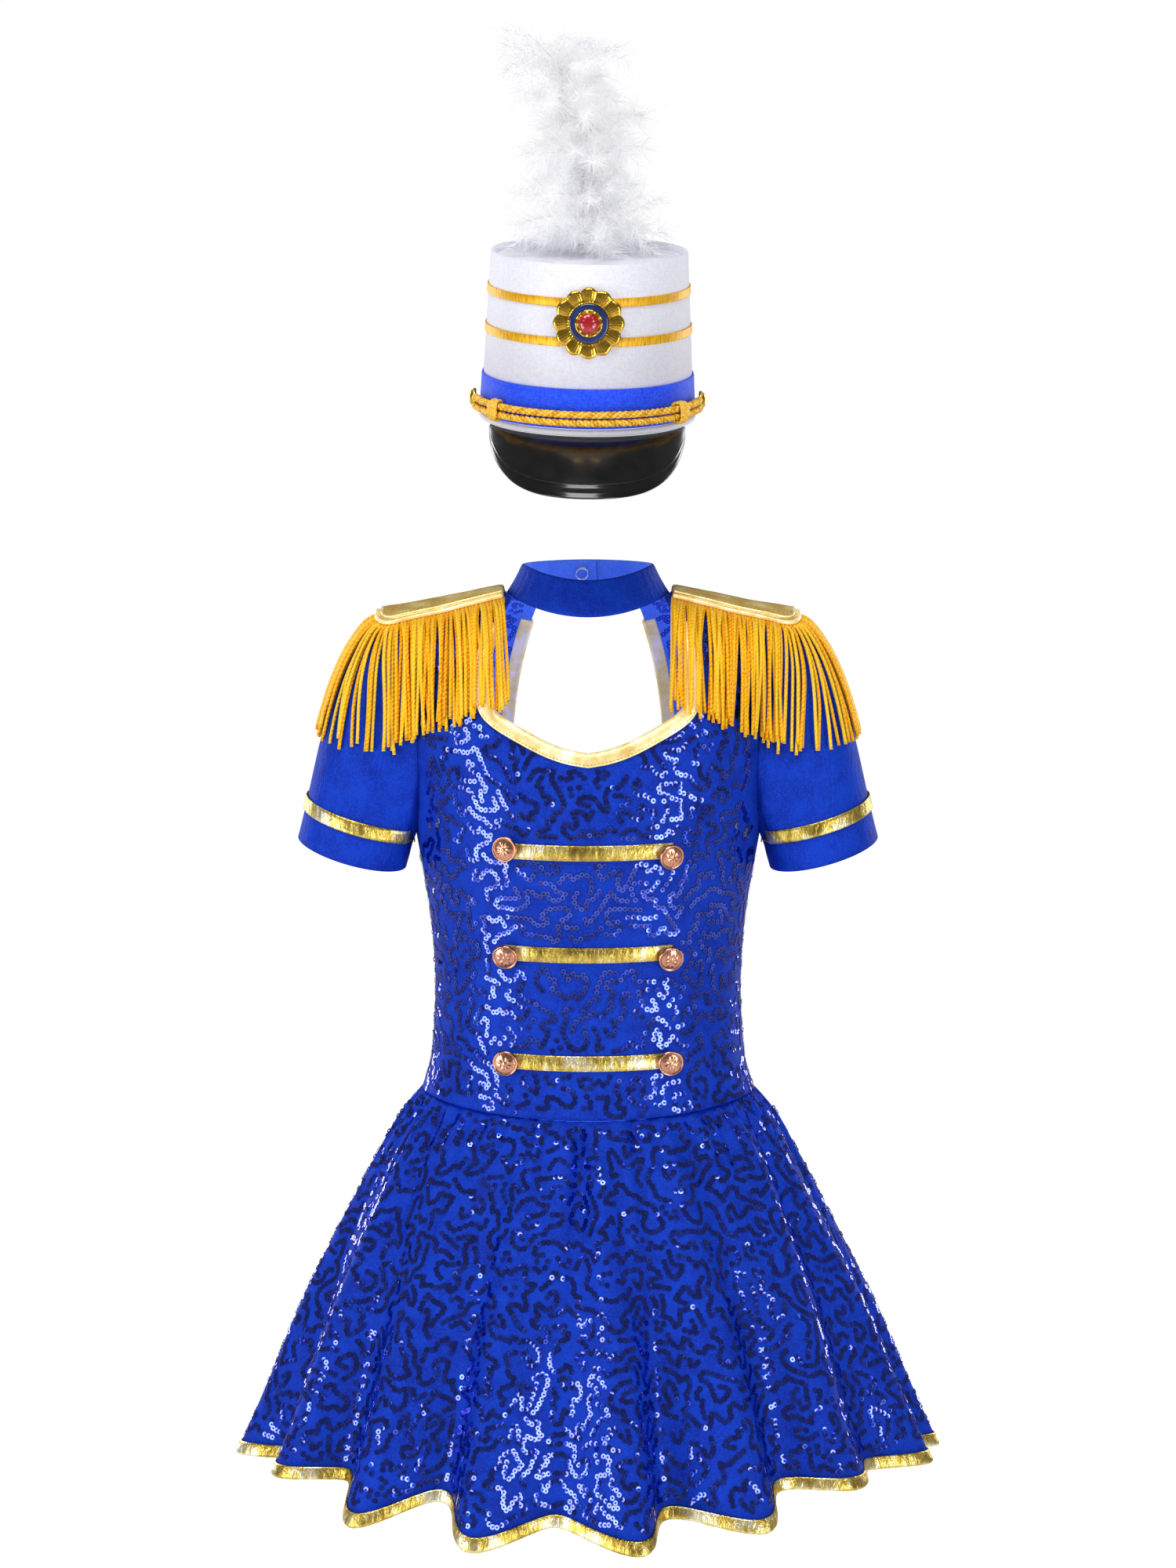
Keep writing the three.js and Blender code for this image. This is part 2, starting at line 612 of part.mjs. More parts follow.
// Gold bars across the bodice, with a metal button near each end.

function bodiceStrip(z, halfLength, width, sag, count) {
  const line = (low) =>
    steps(-halfLength, halfLength, count).map((x) => {
      const dip = sag * (1 - (x / halfLength) ** 2);
      return underView(frontHalf, x, z - dip + low, 0);
    });
  return wall([line(-width / 2), line(width / 2)], LIE, LIE + TAPE);
}

// A domed shank button, its face towards +Z before it is placed.
function buttonGeometry({ radius, thickness, dome, shank }) {
  const profile = [
    [0, -shank], [1.6, -shank], [1.6, 0], [radius, 0.6], [radius, thickness], [radius - 1.6, thickness - 0.2],
    [radius * 0.45, thickness + dome * 0.7], [0, thickness + dome],
  ].map(([r, h]) => new THREE.Vector2(r, h));
  return new THREE.LatheGeometry(profile, 10).rotateX(Math.PI / 2);
}

// Puts a piece that faces +Z at a point, facing along a direction.
function facing(geometry, point, direction) {
  const turn = new THREE.Quaternion().setFromUnitVectors(vec(0, 0, 1), direction.clone().normalize());
  return geometry.applyQuaternion(turn).translate(point.x, point.y, point.z);
}

// How each button hangs on its shank: across and down, as shares of the way it faces.
const BUTTONS = [
  { name: "button_top_left", x: -1, bar: 0, dz: 1.5, right: -0.04, down: 0.02 },
  { name: "button_top_right", x: 1, bar: 0, dz: -3.5, right: 0.12, down: 0.2 },
  { name: "button_middle_left", x: -1, bar: 1, dz: -2, right: 0.16, down: 0.24 },
  { name: "button_middle_right", x: 1, bar: 1, dz: -3.5, right: -0.1, down: 0.24 },
  { name: "button_bottom_left", x: -1, bar: 2, dz: -1.5, right: 0.14, down: 0.22 },
  { name: "button_bottom_right", x: 1, bar: 2, dz: -1.5, right: -0.14, down: 0.24 },
];

function barButton({ x, bar, dz, right, down }) {
  const place = (offset) => underView(frontHalf, x * BUTTON.atX, BAR.zs[bar] + dz, offset);
  const out = place(1).sub(place(0)).normalize();
  const face = out.clone().add(vec(right, 0, -down));
  const foot = place(0).addScaledVector(out, LIE + TAPE + SEAM + BUTTON.shank + 0.45);
  return facing(buttonGeometry(BUTTON), foot, face);
}

// Epaulettes: a padded board over each shoulder, piped round its edge, with a fringe under it.

// The body's surface over the shoulder, from above: x, y and an offset off the cloth.
function overShoulder(x, y, offset) {
  const turn = (v) => {
    const row = bodyRow(v);
    const depth = y < 0 ? row.front : row.back;
    const side = Math.acos(Math.min(Math.abs(y) / depth, 1) ** (1 / row.tip));
    return y < 0 ? side : Math.PI - side;
  };
  const v = bisect((level) => bodyPoint(turn(level), level).x - Math.abs(x), SHOULDER_TIP, NECK);
  const phi = turn(v);
  const d = 0.01;
  const along = bodyPoint(phi + d, v).sub(bodyPoint(phi - d, v));
  const normal = along.cross(bodyPoint(phi, v).sub(bodyPoint(phi, v - d))).normalize();
  const point = bodyPoint(phi, v).addScaledVector(normal, offset);
  return point.setX(Math.sign(x) * point.x);
}

function boardHalfWidth(x) {
  const past = Math.max(x - (BOARD.outer - BOARD.corner), 0);
  const rounding = BOARD.corner - Math.sqrt(Math.max(BOARD.corner ** 2 - past ** 2, 0));
  const taper = (3 * (BOARD.outer - x)) / (BOARD.outer - BOARD.inner);
  return BOARD.halfWidth - taper - rounding;
}

const BOARD_LIFT = LIE + FRINGE.stripThickness + 0.8;
const boardPlaces = [...steps(BOARD.inner, BOARD.outer - BOARD.corner, 4), 140, 144.6, BOARD.outer];

function epauletteBoard(side) {
  const rows = side > 0 ? boardPlaces : [...boardPlaces].reverse();
  const across = steps(-1, 1, 6);
  const crown = (w) => 1.2 * (1 - w ** 4);
  const grid = across.map((w) => rows.map((x) => overShoulder(side * x, w * boardHalfWidth(x), BOARD_LIFT)));
  const lifted = across.map((w) =>
    rows.map((x) => overShoulder(side * x, w * boardHalfWidth(x), BOARD_LIFT + BOARD.thickness + crown(w))),
  );
  return between(lifted, grid);
}

// A closed solid between an upper and a lower grid of the same size.
function between(upper, lower) {
  const [rows, count] = [upper.length, upper[0].length];
  const points = [...upper.flat(), ...lower.flat()];
  const up = (j, i) => j * count + i;
  const down = (j, i) => rows * count + up(j, i);
  const triangles = [];
  const quad = (a, b, c, d) => triangles.push(a, b, c, a, c, d);
  for (let j = 0; j < rows - 1; j++) {
    for (let i = 0; i < count - 1; i++) {
      quad(up(j, i), up(j, i + 1), up(j + 1, i + 1), up(j + 1, i));
      quad(down(j, i), down(j + 1, i), down(j + 1, i + 1), down(j, i + 1));
    }
    quad(up(j, 0), up(j + 1, 0), down(j + 1, 0), down(j, 0));
    quad(down(j, count - 1), down(j + 1, count - 1), up(j + 1, count - 1), up(j, count - 1));
  }
  for (let i = 0; i < count - 1; i++) {
    quad(down(0, i), down(0, i + 1), up(0, i + 1), up(0, i));
    quad(up(rows - 1, i), up(rows - 1, i + 1), down(rows - 1, i + 1), down(rows - 1, i));
  }
  return indexedGeometry(points, triangles);
}

// The board's edge from above, from the neck along the front, round the outer end and back again.
// out points away from the board.
function boardEdge(count) {
  const round = BOARD.outer - BOARD.corner;
  const flat = BOARD.halfWidth - BOARD.corner;
  const edge = new THREE.CurvePath();
  const corner = (turn) => {
    const y = turn < 0 ? -flat : flat;
    const arc = new THREE.EllipseCurve(round, y, BOARD.corner, BOARD.corner, turn, turn + Math.PI / 2);
    return new THREE.CatmullRomCurve3(arc.getPoints(8).map((p) => vec(p.x, p.y, 0)));
  };
  const [nearFront, farFront] = [vec(BOARD.inner, 3 - BOARD.halfWidth, 0), vec(round, -BOARD.halfWidth, 0)];
  const [nearBack, farBack] = [vec(BOARD.inner, BOARD.halfWidth - 3, 0), vec(round, BOARD.halfWidth, 0)];
  edge.add(new THREE.LineCurve3(nearFront, farFront));
  edge.add(corner(-Math.PI / 2));
  edge.add(new THREE.LineCurve3(vec(BOARD.outer, -flat, 0), vec(BOARD.outer, flat, 0)));
  edge.add(corner(0));
  edge.add(new THREE.LineCurve3(farBack, nearBack));
  return (typeof count === "number" ? steps(0, 1, count) : count).map((t) => {
    const [p, ahead] = [edge.getPointAt(t), edge.getTangentAt(t)];
    return { x: p.x, y: p.y, out: vec(ahead.y, -ahead.x, 0) };
  });
}

const PIPING_RADIUS = 1.3;

const PIPING_AT = [0, 0.16, 0.3, 0.335, 0.355, 0.375, 0.395, 0.415, 0.44];

function epaulettePiping(side) {
  const lift = BOARD_LIFT + PIPING_RADIUS + 0.4;
  const path = boardEdge([...PIPING_AT, 0.5, ...PIPING_AT.map((t) => 1 - t).reverse()]).map(({ x, y, out }) => {
    const rim = overShoulder(side * x, y, lift);
    const further = rim.clone().sub(overShoulder(side * (x - out.x), y - out.y, lift));
    return rim.addScaledVector(further.normalize(), PIPING_RADIUS + SEAM + 0.2);
  });
  return tube(path, PIPING_RADIUS, 5);
}

// A lock's line: out from its root under the board's edge, then down over whatever cloth it meets.
function lockLine(root, rim, away, clothes) {
  const ray = new THREE.Raycaster();
  ray.far = 200;
  const across = vec(-away.y, away.x, 0);
  // How far out the cloth lies on a level under the rim, over the width of the lock.
  const clothAt = (z) => {
    const found = [-0.5, 0, 0.5].map((w) => {
      const from = rim.clone().setZ(z).addScaledVector(across, w * FRINGE.width).addScaledVector(away, 150);
      ray.set(from, away.clone().negate());
      const [hit] = ray.intersectObjects(clothes, false);
      if (!hit) return -50;
      return 150 - hit.distance + (FRINGE.depth / 2 + 1.3) / Math.max(hit.face.normal.dot(away), 0.15);
    });
    return Math.max(...found);
  };
  const levels = [{ z: rim.z, reach: 0 }];
  let length = 0;
  while (length < FRINGE.length) {
    const last = levels[levels.length - 1];
    const z = last.z - 2.5;
    const reach = Math.max(last.reach - 0.05, clothAt(z));
    length += Math.hypot(2.5, reach - last.reach);
    levels.push({ z, reach });
  }
  // A few points are enough, moved out so that the straight runs between them clear the cloth too.
  const chosen = [0, 0.1, 0.28, 0.55, 1].map((share) => Math.round(share * (levels.length - 1)));
  const shortOf = (from, to) =>
    levels.slice(from, to).reduce((most, { reach }, k) => {
      const straight = THREE.MathUtils.lerp(levels[from].reach, levels[to].reach, k / (to - from));
      return Math.max(most, reach - straight);
    }, 0);
  const lifts = chosen.slice(1).map((to, k) => shortOf(chosen[k], to));
  const points = chosen.map((at, k) => {
    const lift = k === 0 ? 0 : Math.max(lifts[k - 1], lifts[k] ?? 0);
    return rim.clone().setZ(levels[at].z).addScaledVector(away, levels[at].reach + lift);
  });
  return [root, ...points];
}

function epauletteFringe(side, clothes) {
  const edge = boardEdge(16);
  const middle = LIE + FRINGE.stripThickness / 2;
  const inside = ({ x, y, out }, inwards, lift) =>
    overShoulder(side * (x - out.x * inwards), y - out.y * inwards, lift);
  const strip = [0.4, 6.4].map((inwards) => edge.map((place) => inside(place, inwards, 0)));
  const band = wall(side > 0 ? strip : strip.reverse(), LIE, LIE + FRINGE.stripThickness);
  const locks = boardEdge(FRINGE.perSide + 1).slice(1, -1).map((place) => {
    const away = vec(side * place.out.x, place.out.y, 0);
    const root = inside(place, 3.4, middle);
    const rim = inside(place, 0.4, middle + 0.4);
    const further = rim.clone().sub(root).setLength(2.6);
    const line = lockLine(root, rim.add(further), away, clothes);
    const across = vec(0, 0, -1).cross(away).normalize();
    const { width, depth } = FRINGE;
    const thin = [0.8, 1.4]; // at its root a lock lies in the band, under the board and its piping
    return lock(line, across, line.map((_, i) => [width, thin[i] ?? depth]));
  });
  return join([band, ...locks]);
}

// Cap: a tall crown that narrows to its top, tilted a little forwards. h runs up the crown from its base.
function capPoint(phi, h, offset) {
  const share = h / CAP.height;
  const half = 75.6 - 6.1 * share + offset;
  const depth = 86.5 - 7 * share + offset;
  return vec(half * Math.sin(phi), -depth * Math.cos(phi), h);
}

function capRing(fromH, toH, low, high, around) {
  const turns = steps(0, 2 * Math.PI, around).slice(0, around);
  const grid = [fromH, toH].map((h) => turns.map((phi) => capPoint(phi, h, 0)));
  return wall(grid, low, high, { closed: true });
}

function capTop() {
  const { x: half } = capPoint(Math.PI / 2, CAP.height - 6, -CAP.wall - SEAM);
  const { y: depth } = capPoint(Math.PI, CAP.height - 6, -CAP.wall - SEAM);
  const shape = new THREE.Shape().absellipse(0, 0, half - 0.3, depth - 0.3, 0, 2 * Math.PI);
  const geometry = new THREE.ExtrudeGeometry(shape, { depth: 2, bevelEnabled: false, curveSegments: 16 });
  return geometry.translate(0, 0, CAP.height - 6);
}

// The peak: from the crown's front edge forwards and down. u runs across it, w out to its edge.
const PEAK = { span: degrees(66), half: 69, reach: 48.7, drop: 32, thickness: 2 };

function peakPoint(u, w) {
  const attach = capPoint(u * PEAK.span, -0.6 - SEAM, -1.2);
  const x = PEAK.half * Math.sin((u * Math.PI) / 2);
  const share = Math.abs(x) / PEAK.half;
  const { y: side } = capPoint(PEAK.span, 0, 0);
  const front = 86.5 + side;
  const edge = vec(
    x,
    side - (front + PEAK.reach) * Math.sqrt(Math.max(1 - share * share, 0)),
    -2 - PEAK.drop * Math.sqrt(Math.max(1 - share ** 4, 0)),
  );
  const crown = 3.2 * Math.sin(Math.PI * w) * Math.cos((u * Math.PI) / 2);
  return attach.lerp(edge, w).add(vec(0, 0, crown));
}

function peak() {
  const across = steps(-1, 1, 20);
  const grid = [1, 0.67, 0.33, 0].map((w) => across.map((u) => peakPoint(u, w)));
  return wall(grid, -PEAK.thickness, 0);
}

// The braid: two cords side by side round the front of the band, from one button to the other.
const BRAID = { radius: 2.6, heights: [15.2, 9.4], end: degrees(80), slideAt: degrees(53) };
const BRAID_OFFSET = 5.7;

function braidCord(h) {
  const path = steps(-BRAID.end, BRAID.end, 20).map((phi) => capPoint(phi, h, BRAID_OFFSET));
  return tube(path, BRAID.radius, 6);
}

// A slide that holds both cords: a short oval tube across them.
function braidSlide(side) {
  const middle = capPoint(side * BRAID.slideAt, 12.3, BRAID_OFFSET);
  const along = capPoint(side * BRAID.slideAt + 0.02, 12.3, BRAID_OFFSET).sub(middle).normalize();
  const out = along.clone().cross(vec(0, 0, 1)).normalize();
  const turns = steps(0, 2 * Math.PI, 12).slice(0, 12);
  const hole = { up: 6.9, out: BRAID.radius + 0.7 };
  const squared = (value) => Math.sign(value) * Math.abs(value) ** 0.6;
  const grid = [-4.5, 4.5].map((t) =>
    turns.map((a) =>
      middle
        .clone()
        .addScaledVector(along, t)
        .addScaledVector(vec(0, 0, 1), hole.up * squared(Math.cos(a)))
        .addScaledVector(out, hole.out * squared(Math.sin(a))),
    ),
  );
  return wall(grid, 0, 1, { closed: true });
}

const CAP_BUTTON = { radius: 6.5, thickness: 1.6, dome: 3.4, shank: 2.6 };

function capButton(side) {
  const foot = capPoint((side * Math.PI) / 2, 12.3, 1.2 + SEAM + CAP_BUTTON.shank);
  return facing(buttonGeometry(CAP_BUTTON), foot, vec(side, 0, 0));
}

// The badge: a fluted gold rosette with an enamel disc and a domed stone.
const BADGE = { radius: 24.5, h: 78, flutes: 12, enamel: 14, stone: 8 };

function badgeDisc(radius, thickness, waves, depth) {
  const outline = steps(0, 2 * Math.PI, waves ? waves * 4 : 24)
    .slice(0, -1)
    .map((a) => {
      const r = radius - depth * (1 - Math.abs(Math.cos((waves * a) / 2)));
      return new THREE.Vector2(r * Math.cos(a), r * Math.sin(a));
    });
  return new THREE.ExtrudeGeometry(new THREE.Shape(outline), { depth: thickness, bevelEnabled: false });
}

function badgeStone() {
  const profile = [[0, 0], [BADGE.stone, 0], [BADGE.stone, 0.8], [6.4, 2.4], [3.6, 3.6], [0, 4]];
  const points = profile.map(([r, h]) => new THREE.Vector2(r, h));
  return new THREE.LatheGeometry(points, 12).rotateX(Math.PI / 2);
}

// Stacks a badge layer on the crown's front, at a height off it.
function onCrownFront(geometry, off) {
  const at = capPoint(0, BADGE.h, 0);
  const out = vec(0, -1, 7 / CAP.height).normalize();
  return facing(geometry, at.addScaledVector(out, off), out);
}

// The plume: a downy stem that sways as it rises, and soft feather locks that spring from it.
// reach is how far the down stands out from the stem's middle.
const plumeRow = smoothTable(
  [
    { z: 114.6, x: -2, y: -4, reach: 40 }, { z: 130, x: -2, y: -4, reach: 47 },
    { z: 147, x: 1, y: -3, reach: 41 }, { z: 164, x: 0, y: -1, reach: 40 },
    { z: 191, x: -3, y: 3, reach: 37 }, { z: 207, x: -8, y: 6, reach: 29 },
    { z: 218, x: -11, y: 8, reach: 28 }, { z: 232, x: -16, y: 11, reach: 42 },
    { z: 246, x: -21, y: 14, reach: 39 }, { z: 258, x: -20, y: 17, reach: 28 },
    { z: 268, x: -15, y: 19, reach: 12 },
  ],
  "z",
);
const PLUME = { locks: 22, stem: 0.74, from: 124, to: 262 };

function plumeLock(k, random) {
  const share = (k + 0.5) / PLUME.locks;
  const z = PLUME.from + (PLUME.to - PLUME.from) * share;
  const { x, y, reach } = plumeRow(z);
  const turn = k * degrees(137.5);
  const out = vec(Math.cos(turn), Math.sin(turn), 0);
  const tip = reach * (1.02 + 0.2 * random()) + 3;
  const rise = 0.1 + 0.5 * random() + 0.45 * share ** 3;
  const line = [0.5, 0.68, 0.86, 1].map((s) => {
    const along = (s - 0.5) / 0.5;
    return vec(x, y, z + tip * (rise * along - 0.35 * along ** 2)).addScaledVector(out, tip * s);
  });
  return lock(line, out.clone().cross(vec(0, 0, 1)), [[12, 9], [16, 13], [12, 9], [2, 2]]);
}

function plume() {
  const random = randomFrom(7);
  const heights = [114.6, 128, 146, 164, 186, 207, 218, 232, 247, 262, 267];
  const stem = loft(
    heights.map((z) => {
      const { x, y, reach } = plumeRow(z);
      return ringAround(vec(x, y, z), vec(0, 0, 1), vec(0, 1, 0), PLUME.stem * reach, 8);
    }),
  );
  return join([stem, ...Array.from({ length: PLUME.locks }, (_, k) => plumeLock(k, random))]);
}

// Materials
const colours = {
  sequinned: { color: 0x0d3bd0, roughness: 0.45, metalness: 0.2 },
  plainBlue: { color: 0x0f3fd2, roughness: 0.7, metalness: 0 },
  gold: { color: 0xd9b23a, roughness: 0.25, metalness: 1 },
  fringe: { color: 0xf2a714, roughness: 0.6, metalness: 0 },
  roseGold: { color: 0xd9a07a, roughness: 0.3, metalness: 1 },
  steel: { color: 0xd8dade, roughness: 0.2, metalness: 1 },
  white: { color: 0xeeeef4, roughness: 0.85, metalness: 0 },
  black: { color: 0x101113, roughness: 0.15, metalness: 0 },
  feather: { color: 0xf4f4f6, roughness: 0.95, metalness: 0 },
  navy: { color: 0x16306e, roughness: 0.15, metalness: 0 },
  red: { color: 0xc4122b, roughness: 0.1, metalness: 0 },
};
const materials = Object.fromEntries(
  Object.entries(colours).map(([name, look]) => [name, new THREE.MeshStandardMaterial(look)]),
);

function named(name, geometry, look) {
  const mesh = new THREE.Mesh(geometry, materials[look]);
  mesh.name = name;
  return mesh;
}

// Assembly
const costume = new THREE.Group();
const dress = new THREE.Group();
const cap = new THREE.Group();
cap.position.set(CAP.x, CAP.y, CAP.z);
cap.rotation.set(degrees(CAP.tilt), degrees(CAP.roll), 0);
costume.add(dress, cap);

const SIDES = [{ word: "left", side: -1 }, { word: "right", side: 1 }]; // as seen from the front

dress.add(
  named("bodice_front", bodiceFront, "sequinned"),
  named("bodice_back", bodiceBack, "sequinned"),
  named("front_opening_binding", openingBinding(FRONT_OPENING, frontHalf, 14, -15), "gold"),
  named("back_opening_binding", openingBinding(BACK_OPENING, backHalf, 16, -16), "gold"),
  named("collar_band", collarBand(), "plainBlue"),
  named("skirt_front", skirtHalf(-1, skirtLevels, -CLOTH, 0), "sequinned"),
  named("skirt_back", skirtHalf(1, skirtLevels, -CLOTH, 0), "sequinned"),
  named("hem_tape_front", skirtHalf(-1, tapeLevels, -CLOTH - 0.2, 0.2), "gold"),
  named("hem_tape_back", skirtHalf(1, tapeLevels, -CLOTH - 0.2, 0.2), "gold"),
);

dress.add(
  named("collar_snap_inner", collarSnap(degrees(-174.5), -1), "steel"),
  named("collar_snap_outer", collarSnap(degrees(185.5), 1), "steel"),
);

BAR.zs.forEach((z, k) => {
  const place = ["top", "middle", "bottom"][k];
  dress.add(named(`gold_bar_${place}`, bodiceStrip(z, BAR.halfLength, BAR.width, 1.5, 10), "gold"));
});
for (const button of BUTTONS) dress.add(named(button.name, barButton(button), "roseGold"));

for (const { word, side } of SIDES) {
  const arm = named(`sleeve_${word}`, sleeve(side), "plainBlue");
  dress.add(
    arm,
    named(`sleeve_tape_${word}`, sleeveTape(side), "gold"),
    named(`epaulette_board_${word}`, epauletteBoard(side), "gold"),
    named(`epaulette_piping_${word}`, epaulettePiping(side), "gold"),
  );
  const clothes = [arm, ...dress.children.filter((mesh) => mesh.name.startsWith("bodice") || mesh.name.includes("opening"))];
  dress.add(named(`epaulette_fringe_${word}`, epauletteFringe(side, clothes), "fringe"));
}

cap.add(
  named("cap_crown", capRing(4.4, CAP.height, -CAP.wall, 0, 30), "white"),
  named("cap_top", capTop(), "white"),
  named("cap_edge", capRing(-0.6, 4.1, -CAP.wall - 0.6, 1.4, 30), "white"),
  named("cap_band", capRing(4.6, 32, SEAM, 1.2, 30), "plainBlue"),
  named("cap_ribbon_lower", capRing(61.3, 67.3, SEAM, 1, 30), "gold"),
  named("cap_ribbon_upper", capRing(88.8, 94.8, SEAM, 1, 30), "gold"),
  named("cap_peak", peak(), "black"),
  named("braid_cord_upper", braidCord(BRAID.heights[0]), "fringe"),
  named("braid_cord_lower", braidCord(BRAID.heights[1]), "fringe"),
  named("braid_slide_left", braidSlide(-1), "fringe"),
  named("braid_slide_right", braidSlide(1), "fringe"),
  named("cap_button_left", capButton(-1), "gold"),
  named("cap_button_right", capButton(1), "gold"),
  named("badge_rosette", onCrownFront(badgeDisc(BADGE.radius, 1.8, BADGE.flutes, 2.4), 1.4), "gold"),
  named("badge_enamel", onCrownFront(badgeDisc(BADGE.enamel, 1, 0, 0), 3.5), "navy"),
  named("badge_stone", onCrownFront(badgeStone(), 4.8), "red"),
  named("plume", plume(), "feather"),
);

export default costume;
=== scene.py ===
"""A majorette's costume, dressed for its portrait.

A sequinned skater dress with fringed epaulettes hangs as it is worn, and a tall plumed cap stays above it.
Shapes are worked out in millimetres, +Z up, front towards -Y, and turned to metres when a mesh is made.
"""

import math
import random

import bmesh
import bpy
import numpy as np
from mathutils import Matrix, Vector, noise
from mathutils.bvhtree import BVHTree


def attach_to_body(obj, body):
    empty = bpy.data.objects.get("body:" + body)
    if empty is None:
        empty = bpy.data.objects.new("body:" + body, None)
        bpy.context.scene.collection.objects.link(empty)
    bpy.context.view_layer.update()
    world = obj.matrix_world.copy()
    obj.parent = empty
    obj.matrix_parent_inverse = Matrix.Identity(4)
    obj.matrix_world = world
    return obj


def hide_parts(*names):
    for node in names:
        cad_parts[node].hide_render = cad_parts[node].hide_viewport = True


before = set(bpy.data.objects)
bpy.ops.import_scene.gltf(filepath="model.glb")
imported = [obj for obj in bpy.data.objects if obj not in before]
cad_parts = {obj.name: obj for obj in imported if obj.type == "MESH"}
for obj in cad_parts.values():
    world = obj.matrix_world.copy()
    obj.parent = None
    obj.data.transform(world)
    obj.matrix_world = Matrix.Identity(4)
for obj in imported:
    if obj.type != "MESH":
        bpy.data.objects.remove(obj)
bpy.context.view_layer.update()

MM = 0.001
CLOTH = 1.5
TAPE_WIDTH = 8.7
BINDING_WIDTH = 8
NECK, SHOULDER_TIP = 12, 10
COSTUME = "root"


# Camera, light and stage

CAMERA = {"distance": 3.5, "elevation": 5, "frame_height": 1.12, "target": (0, 0, -0.1316)}
FLOOR_Z = -1.13  # a child's feet below the neck


def make_camera():
    data = bpy.data.cameras.new("portrait_camera")
    data.sensor_width = 36
    data.lens = 36 * CAMERA["distance"] / CAMERA["frame_height"]
    camera = bpy.data.objects.new("portrait_camera", data)
    bpy.context.scene.collection.objects.link(camera)
    rise = math.radians(CAMERA["elevation"])
    back = Vector((0, -math.cos(rise), math.sin(rise)))
    camera.location = Vector(CAMERA["target"]) + back * CAMERA["distance"]
    camera.rotation_euler = (-back).to_track_quat("-Z", "Y").to_euler()
    bpy.context.scene.camera = camera


SOFTBOXES = [
    # name, turn round from the front, rise, distance, width, height, radiance
    ("left_softbox", -54, -8, 2.3, 0.9, 1.5, 5.7),
    ("right_softbox", 38, -8, 2.3, 0.62, 1.5, 6.3),
    ("top_softbox", -8, 58, 2.3, 1.3, 0.9, 7.5),
    ("back_left_softbox", -140, 12, 2.6, 0.8, 1.8, 4.8),
    ("back_right_softbox", 138, 12, 2.6, 0.8, 1.8, 4.8),
]


def make_lights():
    centre = Vector((0, 0, -0.2))
    for name, turn, rise, distance, width, height, radiance in SOFTBOXES:
        data = bpy.data.lights.new(name, "AREA")
        data.shape, data.size, data.size_y = "RECTANGLE", width, height
        data.energy = radiance * math.pi * width * height
        light = bpy.data.objects.new(name, data)
        a, e = math.radians(turn), math.radians(rise)
        away = Vector((math.sin(a) * math.cos(e), -math.cos(a) * math.cos(e), math.sin(e)))
        light.location = centre + away * distance
        light.rotation_euler = away.to_track_quat("Z", "Y").to_euler()
        light.visible_camera = False
        bpy.context.scene.collection.objects.link(light)


# Materials

def linear(code):
    """An sRGB hex colour as linear RGBA."""
    channels = [int(code[k : k + 2], 16) / 255 for k in (1, 3, 5)]
    return (*[c / 12.92 if c <= 0.04045 else ((c + 0.055) / 1.055) ** 2.4 for c in channels], 1.0)


def add(tree, kind, links=None, **settings):
    """Adds a node; links gives each input a value or the output that feeds it."""
    node = tree.nodes.new(kind)
    for name, value in settings.items():
        setattr(node, name, value)
    for key, value in (links or {}).items():
        if isinstance(value, bpy.types.NodeSocket):
            tree.links.new(value, node.inputs[key])
        else:
            node.inputs[key].default_value = value
    return node


def new_material(name, **surface):
    """A material on one Principled shader; surface gives its sockets, with _ for a space."""
    material = bpy.data.materials.new(name)
    material.use_nodes = True
    tree = material.node_tree
    shader = tree.nodes["Principled BSDF"]
    for key, value in surface.items():
        shader.inputs[key.replace("_", " ")].default_value = value
    return material, tree, shader


def make_world():
    world = bpy.data.worlds.new("studio")
    world.use_nodes = True
    bpy.context.scene.world = world
    tree = world.node_tree
    path = add(tree, "ShaderNodeLightPath")
    light = add(
        tree,
        "ShaderNodeMix",
        {"Factor": path.outputs["Is Camera Ray"], "A": 0.31, "B": 1.0},
        data_type="FLOAT",
    )
    dimmed = add(tree, "ShaderNodeMath", {0: path.outputs["Is Glossy Ray"], 1: -0.16, 2: light.outputs[0]}, operation="MULTIPLY_ADD")
    tree.links.new(dimmed.outputs[0], tree.nodes["Background"].inputs["Strength"])
    tree.nodes["Background"].inputs["Color"].default_value = linear("#FFFFFF")
    bpy.context.scene.view_settings.view_transform = "Standard"


# Shapes shared by the pieces

def smooth_table(names, rows):
    """Reads the named columns anywhere between the rows, with smooth slopes. The first column is the key."""
    data = np.array(rows, float)
    at, values = data[:, 0], data[:, 1:]
    order = np.arange(len(at))
    low, high = np.maximum(order - 1, 0), np.minimum(order + 1, len(at) - 1)
    slopes = (values[high] - values[low]) / (at[high] - at[low])[:, None]

    def read(t):
        t = np.asarray(t, float)
        k = np.clip(np.searchsorted(at, t, side="left") - 1, 0, len(at) - 2)
        span = at[k + 1] - at[k]
        s = (t - at[k]) / span
        found = values[k] + (values[k + 1] - values[k]) * (s * s * (3 - 2 * s))[..., None]
        found = found + slopes[k] * (s * (1 - s) ** 2 * span)[..., None]
        found = found + slopes[k + 1] * (s * s * (s - 1) * span)[..., None]
        return dict(zip(names, np.moveaxis(found, -1, 0)))

    return read


def smoothstep(x):
    x = np.clip(x, 0, 1)
    return x * x * (3 - 2 * x)


def stack(x, y, z):
    return np.stack(np.broadcast_arrays(x, y, z), -1).astype(float)


def unit(vectors):
    return vectors / np.maximum(np.linalg.norm(vectors, axis=-1, keepdims=True), 1e-9)


